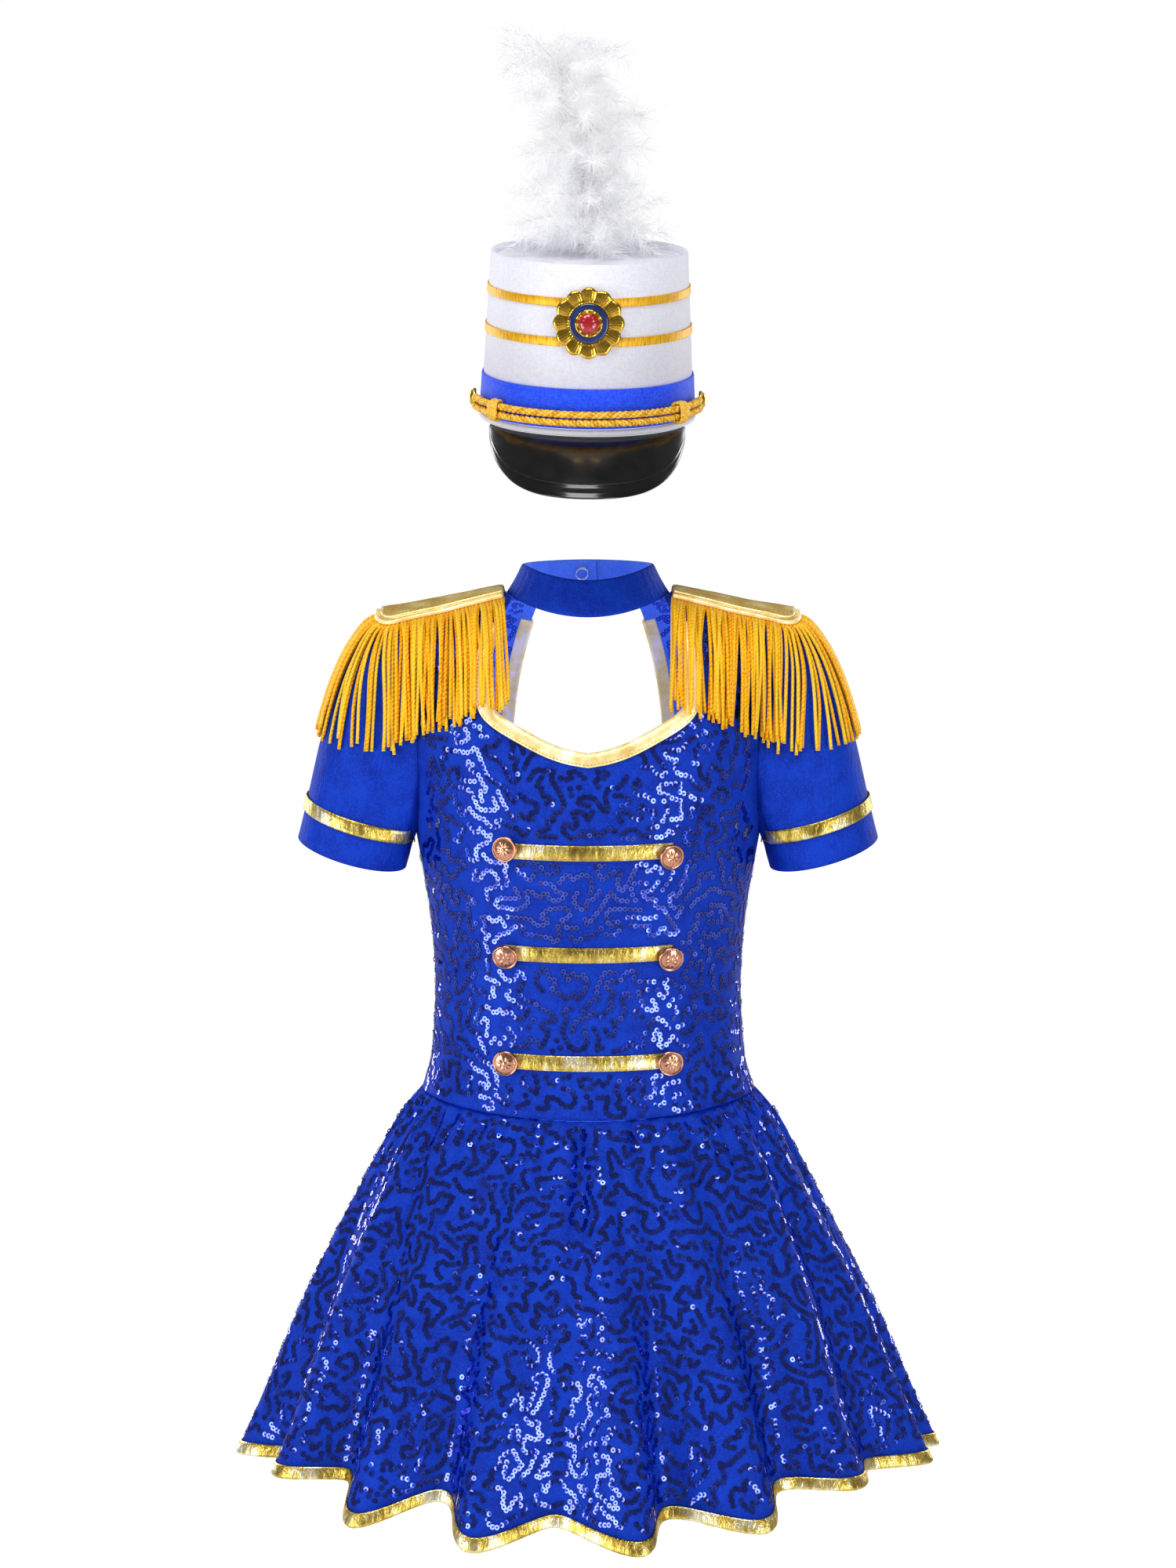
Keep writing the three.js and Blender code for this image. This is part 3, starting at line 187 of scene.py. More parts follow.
def off_surface(surface, a, b, offset):
    """Points of a surface at a and b, moved out along its normals."""
    step = 1e-4
    here = surface(a, b)
    along = surface(a + step, b) - surface(a - step, b)
    up = surface(a, b + step) - surface(a, b - step)
    return here + unit(np.cross(along, up)) * np.asarray(offset)[..., None]


def spaced(points, count):
    """A line of points, evenly spaced again along its length."""
    lengths = np.concatenate([[0], np.cumsum(np.linalg.norm(np.diff(points, axis=0), axis=1))])
    at = np.linspace(0, lengths[-1], count)
    return np.stack([np.interp(at, lengths, points[:, k]) for k in range(points.shape[1])], 1)


def rounded_line(points, count):
    """A smooth line through a few points."""
    rows = [(k, *p) for k, p in enumerate(points)]
    names = ["x", "y", "z"][: len(points[0])]
    read = smooth_table(names, rows)(np.linspace(0, len(points) - 1, 40 * len(points)))
    return spaced(np.stack([read[name] for name in names], 1), count)


def grid_faces(rows, columns, round_rows=False, round_columns=False):
    """The four-sided faces of a grid of points, rows by columns."""
    j = np.arange(rows if round_rows else rows - 1)
    i = np.arange(columns if round_columns else columns - 1)
    j, i = np.meshgrid(j, i, indexing="ij")
    j2, i2 = (j + 1) % rows, (i + 1) % columns
    corners = [j * columns + i, j * columns + i2, j2 * columns + i2, j2 * columns + i]
    return np.stack(corners, -1).reshape(-1, 4)


def make_piece(name, points, faces, material, slot, replaces=(), smooth=True, uv=None):
    """A mesh from points in millimetres. faces is an array or a list; uv gives a place to each point."""
    mesh = bpy.data.meshes.new(name)
    points = np.asarray(points, float).reshape(-1, 3) * MM
    if isinstance(faces, np.ndarray):
        mesh.vertices.add(len(points))
        mesh.vertices.foreach_set("co", points.ravel())
        mesh.loops.add(faces.size)
        mesh.loops.foreach_set("vertex_index", faces.ravel())
        mesh.polygons.add(len(faces))
        mesh.polygons.foreach_set("loop_start", np.arange(0, faces.size, faces.shape[1]))
        mesh.update(calc_edges=True)
    else:
        mesh.from_pydata(points.tolist(), [], faces)
    if uv is not None:
        index = np.empty(len(mesh.loops), int)
        mesh.loops.foreach_get("vertex_index", index)
        places = np.asarray(uv, float)[index]
        sizes = np.empty(len(mesh.polygons), int)
        mesh.polygons.foreach_get("loop_total", sizes)
        face = np.repeat(np.arange(len(sizes)), sizes)
        most = np.zeros(len(sizes))
        np.maximum.at(most, face, places[:, 0])
        places[:, 0] += most[face] - places[:, 0] > 0.5  # a tube's last face runs on past its first
        layer = mesh.uv_layers.new(name="along")
        layer.data.foreach_set("uv", places.ravel())
    mesh.validate()
    mesh.materials.append(material)
    if smooth:
        mesh.shade_smooth()
    obj = bpy.data.objects.new(name, mesh)
    bpy.context.scene.collection.objects.link(obj)
    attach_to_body(obj, COSTUME)
    if replaces:
        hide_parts(*replaces)
    return obj


def thicken(obj, millimetres, lining):
    """Gives a sheet its wall, on its inside, with the cloth's wrong side showing there."""
    obj.data.materials.append(lining)
    shell = obj.modifiers.new("wall", "SOLIDIFY")
    shell.thickness = millimetres * MM
    shell.offset = -1
    shell.material_offset = 1
    return obj


def band(grid, round_it=False):
    """A closed solid whose cross-section is a loop of points: grid[loop][place]."""
    rows, columns = grid.shape[:2]
    faces = [tuple(f) for f in grid_faces(rows, columns, round_rows=True, round_columns=round_it)]
    if not round_it:
        start = [j * columns for j in range(rows)]
        faces.append(tuple(start))
        faces.append(tuple(j + columns - 1 for j in reversed(start)))
    return grid.reshape(-1, 3), faces


def tape_section(width, low, high, across=4):
    """The loop of a flat tape's section: how far across, how high off the cloth."""
    middle, edge = (low + high) / 2, min(0.35, (high - low) / 2)
    top = [(x, high) for x in np.linspace(edge - width / 2, width / 2 - edge, across)]
    return [(-width / 2, middle), *top, (width / 2, middle), (width / 2 - edge, low), (edge - width / 2, low)]


# The dress's body, from the waist seam up to the neck

body_row = smooth_table(
    ["half", "front", "back", "z_front", "z_side", "z_back", "tip"],
    [
        (0, 119, 88, 84, -361, -349, -355, 0.92),
        (1, 112.8, 84.5, 78, -338, -329, -333, 0.92),
        (2, 109.8, 82.5, 72, -296, -292, -294, 0.92),
        (3, 109.8, 84, 71, -256, -256, -256, 0.92),
        (4, 113.5, 89, 77, -218, -218, -218, 0.92),
        (5, 118.8, 95, 83, -187, -187, -187, 0.92),
        (6, 124, 97, 86, -160, -158, -158, 0.94),
        (7, 131, 95, 87, -128, -119, -122, 0.97),
        (8, 138, 90, 86, -96, -81, -86, 1),
        (9, 151, 82, 82, -67, -47, -53, 1.04),
        (10, 163, 72, 74, -42, -18, -25, 1.1),
        (11, 110, 64, 66, -24, -5.5, -9, 1.06),
        (12, 58, 57, 56, -9, 5, 2, 1),
    ],
)


def body_point(phi, v):
    """phi is 0 at the middle of the front and a quarter turn at the side on +X; v rises from waist to neck."""
    row = body_row(v)
    s, c = np.sin(phi), np.cos(phi)
    depth = np.where(c > 0, row["front"], row["back"])
    middle = np.where(c > 0, row["z_front"], row["z_back"])
    return stack(
        row["half"] * np.sign(s) * np.abs(s) ** np.minimum(row["tip"], 1),
        -depth * np.sign(c) * np.abs(c) ** row["tip"],
        middle + (row["z_side"] - middle) * s * s,
    )


def body_under(x, z, facing):
    """The place on the body behind a point of the front view, on the front (-1) or the back (1)."""
    x, z = np.broadcast_arrays(np.asarray(x, float), np.asarray(z, float))

    def turn(v):
        row = body_row(v)
        side = np.arcsin(np.minimum(np.abs(x) / row["half"], 1) ** (1 / np.minimum(row["tip"], 1)))
        return np.where(x < 0, -1, 1) * (side if facing < 0 else np.pi - side)

    low = np.zeros(x.shape)
    high = np.where(np.abs(x) < 108, float(NECK), float(SHOULDER_TIP))
    for _ in range(36):
        v = (low + high) / 2
        above = body_point(turn(v), v)[..., 2] > z
        low, high = np.where(above, low, v), np.where(above, v, high)
    v = (low + high) / 2
    return turn(v), v


def under_view(x, z, facing, offset):
    """A point of the body behind a point of the front view, moved out off the cloth."""
    phi, v = body_under(x, z, facing)
    return off_surface(body_point, phi, v, np.broadcast_to(offset, phi.shape))


FRONT_OPENING = [
    (0, -104.5), (15, -101.6), (30, -96.2), (50, -85.8), (63, -77.6), (69, -70),
    (70.5, -58), (69.5, -38), (63.5, -14), (52.5, 6),
]
BACK_OPENING = [
    (0, -190), (22, -184), (41, -166), (53, -138), (56.5, -108), (54.5, -78), (49.5, -48), (42, -20), (35.5, -1.5),
]

armhole_edge = smooth_table(
    ["x"],
    [
        (-190, 127), (-164.8, 122.3), (-140, 120), (-106.7, 120.1),
        (-73, 124.3), (-34.8, 134), (-12, 146), (20, 170),
    ],
)


def both_halves(half):
    """An opening's edge from the collar at the left, round the bottom and up to the right."""
    left = half[1:][::-1] * [-1, 1]
    return np.concatenate([left, half])


def opening_half_width(opening, z):
    """How far the opening reaches from the middle at a height; less than nothing below it."""
    edge = rounded_line(opening, 120)
    lowest = edge[0, 1]
    reach = np.interp(z, np.maximum.accumulate(edge[:, 1]), edge[:, 0])
    return np.where(z < lowest, z - lowest, reach)


def bodice_clearance(points, opening):
    """How far a point of the bodice lies inside the cloth, away from the opening and the armholes."""
    x, z = np.abs(points[..., 0]), points[..., 2]
    from_opening = np.where(z < opening[0][1], opening[0][1] - z, x - opening_half_width(opening, z))
    from_armhole = armhole_edge(np.clip(z, -190, 20))["x"] - x
    return np.minimum(from_opening, np.where(z > -178, from_armhole, 99))


def clipped(points, field):
    """The points and faces of a grid where field is over 0, cut cleanly where it crosses 0."""
    rows, columns = field.shape
    flat, inside = points.reshape(-1, 3), field.ravel()
    kept, out, faces = {}, [], []

    def vertex(key, place):
        if key not in kept:
            kept[key] = len(out)
            out.append(place)
        return kept[key]

    for a, b, c, d in grid_faces(rows, columns):
        corners = (a, b, c, d)
        if max(inside[list(corners)]) <= 0:
            continue
        face = []
        for p, q in zip(corners, corners[1:] + corners[:1]):
            if inside[p] > 0:
                face.append(vertex(p, flat[p]))
            if (inside[p] > 0) != (inside[q] > 0):
                share = inside[p] / (inside[p] - inside[q])
                face.append(vertex((min(p, q), max(p, q)), flat[p] + (flat[q] - flat[p]) * share))
        if len(face) > 2:
            faces.append(face)
    return np.array(out), faces


SIDE_SEAM = 0.0002  # half the gap between two sewn panels, as a turn


def bodice_panel(name, facing, opening, node, material):
    quarter = np.pi / 2 - SIDE_SEAM
    middle = 0 if facing < 0 else np.pi
    turns = np.linspace(middle - quarter, middle + quarter, 98)
    levels = np.linspace(0, NECK, 80)
    grid = body_point(turns[None, :], levels[:, None])
    points, faces = clipped(grid, bodice_clearance(grid, opening))
    panel = make_piece(name, points, faces, material, "sequinned_cloth", [node])
    return thicken(panel, CLOTH, WRONG_SIDE_PAINTED_BACKLIT)


# Sleeves

SLEEVE = {"around": 96, "tape_from_hem": 21.5, "tape_width": 10}
CUFF = {"x": 168.5, "z": -179.4, "out_x": 38.7, "out_z": 10.7, "forward": 43, "forward_drop": 6.3}


def armhole_loop(side, count):
    """The armhole's edge on the body, from the shoulder down the front and back up behind."""
    def excess(phi, v):
        p = body_point(phi, v)
        return p[..., 0] - armhole_edge(p[..., 2])["x"]

    def bisect(f, low, high):
        rising = f(high) > f(low)
        for _ in range(40):
            middle = (low + high) / 2
            right = (f(middle) > 0) == rising
            low, high = np.where(right, low, middle), np.where(right, middle, high)
        return (low + high) / 2

    quarter = np.pi / 2
    lowest = bisect(lambda v: excess(quarter, v), 4.0, 7.0)
    highest = bisect(lambda v: excess(quarter, v), 10.9, 9.8)
    levels = lowest + (highest - lowest) * smoothstep(np.linspace(0, 1, 181))
    ends = [
        bisect(lambda phi: excess(phi, levels), np.full(181, start), np.full(181, quarter))
        for start in (0.1, np.pi - 0.1)
    ]
    front, back = body_point(ends[0], levels)[::-1], body_point(ends[1], levels)
    loop = spaced(np.concatenate([front, back[1:]]), count + 1)[:-1]
    return loop * [side, 1, 1]


def sleeve_surface(side):
    """The sleeve as a surface: a runs round it in turns of the loop, s from the armhole to the hem."""
    count = SLEEVE["around"]
    armhole = armhole_loop(side, count)
    looped = np.concatenate([armhole[-1:], armhole, armhole[:2]])

    def surface(a, s):
        a, s = np.broadcast_arrays(np.asarray(a, float), np.asarray(s, float))
        at = (a % 1) * count
        start = np.stack([np.interp(at, np.arange(-1, count + 2), looped[:, k]) for k in range(3)], -1)
        turn = 2 * np.pi * a
        c, f = np.cos(turn), np.sin(turn)
        end = stack(
            side * (CUFF["x"] + CUFF["out_x"] * c),
            -CUFF["forward"] * f,
            CUFF["z"] + CUFF["out_z"] * c - CUFF["forward_drop"] * f,
        )
        over = (1 + c) / 2
        reach = np.linalg.norm(end - start, axis=-1)[..., None]
        leave = unit(stack(side * (0.3 + 0.55 * over), 0 * c, -0.95 + 0.43 * over)) * 0.8 * reach
        arrive = unit(stack(side * 0.264 + 0 * c, 0 * c, -0.955 + 0 * c)) * reach
        s2, s3 = (s * s)[..., None], (s**3)[..., None]
        s1 = s[..., None]
        return start * (2 * s3 - 3 * s2 + 1) + leave * (s3 - 2 * s2 + s1) + end * (3 * s2 - 2 * s3) + arrive * (s3 - s2)

    return surface


def outwards(surface, side):
    """Turned so that off_surface moves out of a sleeve on either side."""
    return lambda a, s: surface(a, s) if side > 0 else surface(-a, s)


# Skirt

skirt_row = smooth_table(
    ["half", "front", "back", "z_front", "z_side", "z_back"],
    [
        (0, 119, 88, 84, -361, -349, -355),
        (0.1, 136, 101, 97, -386, -374, -379),
        (0.35, 168, 131, 125, -452, -437, -443),
        (0.6, 197, 155, 148, -518, -501, -508),
        (0.85, 220.5, 177, 170, -584, -566, -574),
        (1, 235, 188, 181, -623.5, -604, -612),
    ],
)

FOLDS = [
    # angle of the crest, how far it stands out, leans round and hangs down at the hem
    (-87, 15, 0, 2), (-62, 13, 3, 0), (-38, 19, -8, 20), (-15.6, 16, -14, 18),
    (4.4, 18, 16, 12), (24.5, 17, 18, 15), (50, 12, -4, 1), (74, 15, 6, 0),
    (96, 17, -6, 2), (119, 18, 10, 6), (141, 15, -12, 10), (162, 18, 8, 12),
    (184, 16, -10, 10), (206, 18, 12, 14), (228, 15, -6, 8), (250, 17, 8, 5),
]
HEM = 1 + TAPE_WIDTH / 289
GATHERS = 61


def fold_at(phi):
    """How far the cloth stands out, leans round and hangs down at an angle, at the hem."""
    folds = np.array(FOLDS + [(FOLDS[0][0] + 360, *FOLDS[0][1:])], float)
    turn = (np.degrees(phi) - folds[0, 0]) % 360 + folds[0, 0]
    k = np.clip(np.searchsorted(folds[:, 0], turn, side="right") - 1, 0, len(FOLDS) - 1)
    t = (turn - folds[k, 0]) / (folds[k + 1, 0] - folds[k, 0])
    crest = (1 + np.cos(2 * np.pi * t)) / 2
    own = smoothstep(1 - t)
    out = folds[k, 1] * own + folds[k + 1, 1] * (1 - own)
    nearest = np.where(t < 0.5, k, k + 1)
    return out * (2 * crest - 1), folds[nearest, 2] * crest, folds[nearest, 3] * crest


def gather_at(phi, d):
    """The small uneven gathers under the waist seam, and the soft creases that run on below them."""
    fine = 1.9 * np.sin(GATHERS * phi + 1.6 * np.sin(5 * phi + 1)) + 1.3 * np.sin(38 * phi + 2 * np.sin(3 * phi))
    long = 3.4 * np.sin(29 * phi + 1.9 * np.sin(4 * phi)) * (0.6 + 0.4 * np.sin(7 * phi + 2))
    sewn_flat = 0.3 + 0.7 * smoothstep(d / 0.035)
    return sewn_flat * fine * np.exp(-d / 0.17) + long * smoothstep(d / 0.1) * np.exp(-(((d - 0.22) / 0.34) ** 2))


def skirt_point(phi, d):
    phi, d = np.broadcast_arrays(np.asarray(phi, float), np.asarray(d, float))
    row = skirt_row(d)
    grown = np.maximum(d, 0) ** 1.15
    out, lean, drop = fold_at(phi)
    radial = out * grown + gather_at(phi, np.maximum(d, 0))
    turn = phi + lean * grown / row["half"]
    s, c = np.sin(turn), np.cos(turn)
    depth = np.where(c > 0, row["front"], row["back"])
    middle = np.where(c > 0, row["z_front"], row["z_back"])
    length = np.hypot(s / row["half"], c / depth)
    level = smoothstep(np.abs(np.arcsin(np.clip(s, -1, 1))) / math.radians(42))
    share = s * s + (level - s * s) * d
    return stack(
        row["half"] * s + radial * s / row["half"] / length,
        -(depth * c + radial * c / depth / length),
        middle + (row["z_side"] - middle) * share - drop * grown * d,
    )


def skirt_up(phi, d):
    """The skirt with its second direction turned upwards, so that off_surface moves outwards."""
    return skirt_point(phi, -d)


def skirt_half(name, facing, node, material):
    quarter = np.pi / 2 - SIDE_SEAM
    middle = 0 if facing < 0 else np.pi
    turns = np.linspace(middle - quarter, middle + quarter, 270)
    levels = np.linspace(0, 1, 38) ** 0.8 * 0.9984 - 1
    grid = skirt_up(turns[None, :], levels[:, None])
    panel = make_piece(name, grid, grid_faces(38, 270), material, "sequinned_cloth", [node])
    return thicken(panel, CLOTH, WRONG_SIDE_PAINTED_BACKLIT)


# Sequins

SEQUIN = {"radius": 1.95, "hole": 0.74, "cup": 0.05, "pitch": 3.25, "off": 0.62, "sides": 8}
LATTICE = 7.5  # how far apart the stitched line's turns lie


def flat_map(surface, a_middle, a_half, b_low, b_high, apex):
    """Unrolls a surface: gives the way from a flat place in millimetres to a and b on it.
    apex is how far below the lowest edge the cloth's fan would meet, or None for cloth that doesn't fan out."""
    bs = np.linspace(b_low, b_high, 60)
    turns = np.linspace(a_middle - a_half, a_middle + a_half, 241)
    grid = surface(turns[None, :], bs[:, None])
    steps = np.linalg.norm(np.diff(grid, axis=1), axis=2)
    lengths = np.concatenate([np.zeros((60, 1)), np.cumsum(steps, 1)], 1)
    lengths -= lengths[:, 120:121]
    up = np.linalg.norm(np.diff(grid, axis=0), axis=2).mean(1)
    heights = np.concatenate([[0], np.cumsum(up)])

    def place(x, y):
        if apex is None:
            along, high = x, y
        else:
            far = np.hypot(x, y)
            along, high = np.arctan2(x, y) * far, far - apex
        row = np.clip(np.interp(high, heights, np.arange(60)), 0, 58.999)
        k = int(row)
        a = [np.interp(along, lengths[j], turns, left=np.nan, right=np.nan) for j in (k, k + 1)]
        inside = 0 <= high <= heights[-1]
        return (a[0] + (a[1] - a[0]) * (row - k), np.interp(high, heights, bs)) if inside else (np.nan, np.nan)

    return place, heights[-1], lengths


def sequin_lines(place, bounds, allowed, seed):
    """Wandering lines that never cross, on a loose lattice: each is a list of flat places."""
    rng = random.Random(seed)
    (x0, x1), (y0, y1) = bounds
    row_step = LATTICE * math.sqrt(3) / 2
    nodes = {}
    for j in range(int((y1 - y0) / row_step) + 1):
        for i in range(int((x1 - x0) / LATTICE) + 1):
            jitter = [rng.uniform(-0.2, 0.2) * LATTICE for _ in range(2)]
            x = x0 + (i + 0.5 * (j % 2)) * LATTICE + jitter[0]
            y = y0 + j * row_step + jitter[1]
            if allowed(*place(x, y)):
                nodes[i, j] = (x, y)
    free = set(nodes)

    def ways(i, j):
        shift = j % 2
        return [(i + 1, j), (i + shift, j + 1), (i + shift - 1, j + 1), (i - 1, j), (i + shift - 1, j - 1), (i + shift, j - 1)]

    lines = []
    order = sorted(nodes)
    rng.shuffle(order)
    for start in order:
        if start not in free:
            continue
        free.discard(start)
        line, way = [start], rng.randrange(6)
        for _ in range(rng.randint(6, 26)):
            options = ways(*line[-1])
            likes = {0: 0.5, 1: 1.2, 5: 1.2, 2: 1.3, 4: 1.3}
            open_ways = [(k, likes[(k - way) % 6]) for k in range(6) if options[k] in free and (k - way) % 6 != 3]
            if not open_ways:
                break
            way = rng.choices([k for k, _ in open_ways], [like for _, like in open_ways])[0]
            line.append(options[way])
            free.discard(line[-1])
        if len(line) > 2:
            lines.append(np.array([nodes[key] for key in line]))
    return lines


def sequin_places(lines):
    """Every sequin's flat place, with the way its line runs there."""
    found = []
    for line in lines:
        for _ in range(2):
            a, b = line[:-1], line[1:]
            line = np.concatenate([line[:1], np.stack([a * 0.75 + b * 0.25, a * 0.25 + b * 0.75], 1).reshape(-1, 2), line[-1:]])
        length = np.linalg.norm(np.diff(line, axis=0), axis=1).sum()
        line = spaced(line, max(int(length / SEQUIN["pitch"]), 2))
        ways = np.gradient(line, axis=0)
        found.extend(zip(line, ways))
    return found


def sew_sequins(name, surface, place, lines, allowed, seed, material, node_slot, off=SEQUIN["off"]):
    """Every cup sequin of a panel in one mesh, each a dished ring that lies nearly flat."""
    rng = random.Random(seed)
    sides = SEQUIN["sides"]
    around = np.linspace(0, 2 * np.pi, sides, endpoint=False)
    ring = np.stack([np.cos(around), np.sin(around)], 1)
    shape = np.concatenate(
        [np.column_stack([ring * SEQUIN["hole"], np.zeros(sides)]),
         np.column_stack([ring * SEQUIN["radius"], np.full(sides, SEQUIN["cup"])])]
    )
    params, ahead = [], []
    for (x, y), (dx, dy) in sequin_places(lines):
        here, there = place(x, y), place(x + dx * 0.1, y + dy * 0.1)
        if allowed(*here) and not np.isnan(there[0]):
            params.append(here)
            ahead.append(there)
    params, ahead = np.array(params), np.array(ahead)
    at = surface(params[:, 0], params[:, 1])
    out = unit(off_surface(surface, params[:, 0], params[:, 1], np.ones(len(params))) - at)
    along = unit(surface(ahead[:, 0], ahead[:, 1]) - at)
    across = np.cross(out, along)
    tilts = []
    for p in at:
        drift = noise.noise_vector(Vector(p) / 17)
        loose = 10 if rng.random() < 0.06 else 1.1
        tilts.append([0.02 + math.radians(7) * drift.x + math.radians(rng.gauss(0, loose)),
                      math.radians(7) * drift.y + math.radians(rng.gauss(0, loose))])
    tilts = np.array(tilts)
    up = unit(out + along * tilts[:, :1] + across * tilts[:, 1:])
    side = unit(np.cross(up, along))
    forward = np.cross(side, up)
    spin = np.array([rng.uniform(0, 2 * np.pi) for _ in at])
    c, s = np.cos(spin)[:, None], np.sin(spin)[:, None]
    e1, e2 = forward * c + side * s, side * c - forward * s
    centre = at + out * off
    points = (
        centre[:, None]
        + shape[None, :, :1] * e1[:, None]
        + shape[None, :, 1:2] * e2[:, None]
        + shape[None, :, 2:] * up[:, None]
    )
    faces = grid_faces(2, sides, round_columns=True)
    faces = (faces[None] + (np.arange(len(at)) * 2 * sides)[:, None, None]).reshape(-1, 4)
    print(name, len(at), "sequins")
    return make_piece(name, points, faces[:, ::-1].copy(), material, node_slot, smooth=False)


# Cap

CAP = {"height": 118, "tilt": 8.5, "roll": 0.8, "x": -0.5, "y": 4, "z": 130.6}
cap_turn = np.array(
    Matrix.Rotation(math.radians(CAP["tilt"]), 3, "X") @ Matrix.Rotation(math.radians(CAP["roll"]), 3, "Y")
)


def on_cap(points):
    """From the cap's own upright frame to the costume's."""
    return np.asarray(points) @ cap_turn.T + [CAP["x"], CAP["y"], CAP["z"]]


def cap_point(phi, h, offset=0.0):
    share = h / CAP["height"]
    half = 75.6 - 6.1 * share + offset
    depth = 86.5 - 7 * share + offset
    return stack(half * np.sin(phi), -depth * np.cos(phi), h)


def closed_piece(name, grid, material, slot, replaces=(), round_it=False, uv=None):
    """A piece made as a band, with its faces turned outwards."""
    points, faces = band(grid, round_it)
    obj = make_piece(name, points, faces, material, slot, replaces, uv=uv)
    turn_outwards(obj)
    return obj


def turn_outwards(obj):
    form = bmesh.new()
    form.from_mesh(obj.data)
    bmesh.ops.recalc_face_normals(form, faces=form.faces)
    form.to_mesh(obj.data)
    form.free()


def joined(parts):
    """One list of points and faces from several."""
    points, faces, start = [], [], 0
    for more_points, more_faces in parts:
        points.append(np.asarray(more_points).reshape(-1, 3))
        faces.extend(tuple(int(k) + start for k in face) for face in more_faces)
        start += len(points[-1])
    return np.concatenate(points), faces


def frames_along(path, towards=(0, 0, 1)):
    """For each point of a path, the way ahead and two directions square to it."""
    ahead = unit(np.gradient(path, axis=0))
    side = unit(np.cross(ahead, np.broadcast_to(np.asarray(towards, float), path.shape)))
    return ahead, side, np.cross(side, ahead)


def tube(path, radius, sides, turn=0.0, towards=(0, 0, 1)):
    """A round tube as band() takes it: a loop of sides points at each place on the path."""
    _, side, up = frames_along(path, towards)
    angle = np.linspace(0, 2 * np.pi, sides, endpoint=False)[:, None] + np.asarray(turn)
    radius = np.broadcast_to(radius, len(path))
    return path + (np.cos(angle) * radius)[..., None] * side + (np.sin(angle) * radius)[..., None] * up


# Sleeve pieces

def crease(a, s, at, along, wide, long, deep):
    """A soft trough on a sleeve, centred at a place and fading out round it."""
    apart = (a - at + 0.5) % 1 - 0.5
    return -deep * np.exp(-((apart / wide) ** 2) - ((s - along) / long) ** 2)


def creased_sleeve(side):
    surface = outwards(sleeve_surface(side), side)

    def relief(a, s):
        """Drags from the underarm and a soft fold over the arm, uneven from one side to the other."""
        forward = a if side > 0 else -a
        under = crease(forward, s, 0.44, 0.34, 0.035, 0.2, 3.2) + crease(forward, s, 0.56, 0.4, 0.04, 0.22, 2.8)
        front = crease(forward, s, 0.3, 0.62, 0.05, 0.2, 1.6) + crease(forward, s, 0.36, 0.2, 0.03, 0.13, -1.6)
        back = crease(forward, s, 0.7, 0.55, 0.05, 0.25, 1.8) + crease(forward, s, 0.8, 0.25, 0.05, 0.12, 1.2)
        return under + front + back

    return lambda a, s, offset=0.0: off_surface(surface, a, s, relief(a, s) + offset)


def sleeve_hem_table(creased):
    """For each turn round the sleeve, the share s at a distance from the hem along the cloth."""
    turns = np.linspace(0, 1, SLEEVE["around"] + 1)
    shares = np.linspace(0.3, 1, 40)
    lines = creased(turns[None, :], shares[:, None])
    steps = np.linalg.norm(np.diff(lines[::-1], axis=0), axis=2)
    lengths = np.concatenate([np.zeros((1, len(turns))), np.cumsum(steps, 0)])

    def share_at(distance):
        return np.array([np.interp(distance, lengths[:, k], shares[::-1]) for k in range(len(turns) - 1)])

    return turns[:-1], share_at


def make_sleeve(word, side):
    creased = creased_sleeve(side)
    turns = np.linspace(0, 1, SLEEVE["around"], endpoint=False)
    places = np.concatenate([[0.004, 0.02, 0.045], np.linspace(0.08, 1, 36)])
    grid = creased(turns[None, :], places[:, None])
    faces = grid_faces(len(places), len(turns), round_columns=True)
    sleeve = make_piece(f"sleeve_{word}_cloth", grid, faces, PLAIN_KNIT, "plain_cloth", [f"sleeve_{word}"])
    thicken(sleeve, CLOTH, PLAIN_KNIT)
    turns, share_at = sleeve_hem_table(creased)
    low = SLEEVE["tape_from_hem"]
    section = tape_section(SLEEVE["tape_width"], 0.5, 1.5, across=5)
    tape = np.stack([creased(turns, share_at(low + SLEEVE["tape_width"] / 2 + x), off) for x, off in section])
    trim = closed_piece(
        f"sleeve_{word}_gold_tape", tape, GOLD_FOIL, "foil_tape", [f"sleeve_tape_{word}"], round_it=True
    )
    return sleeve, trim, creased


# Bindings round the two openings

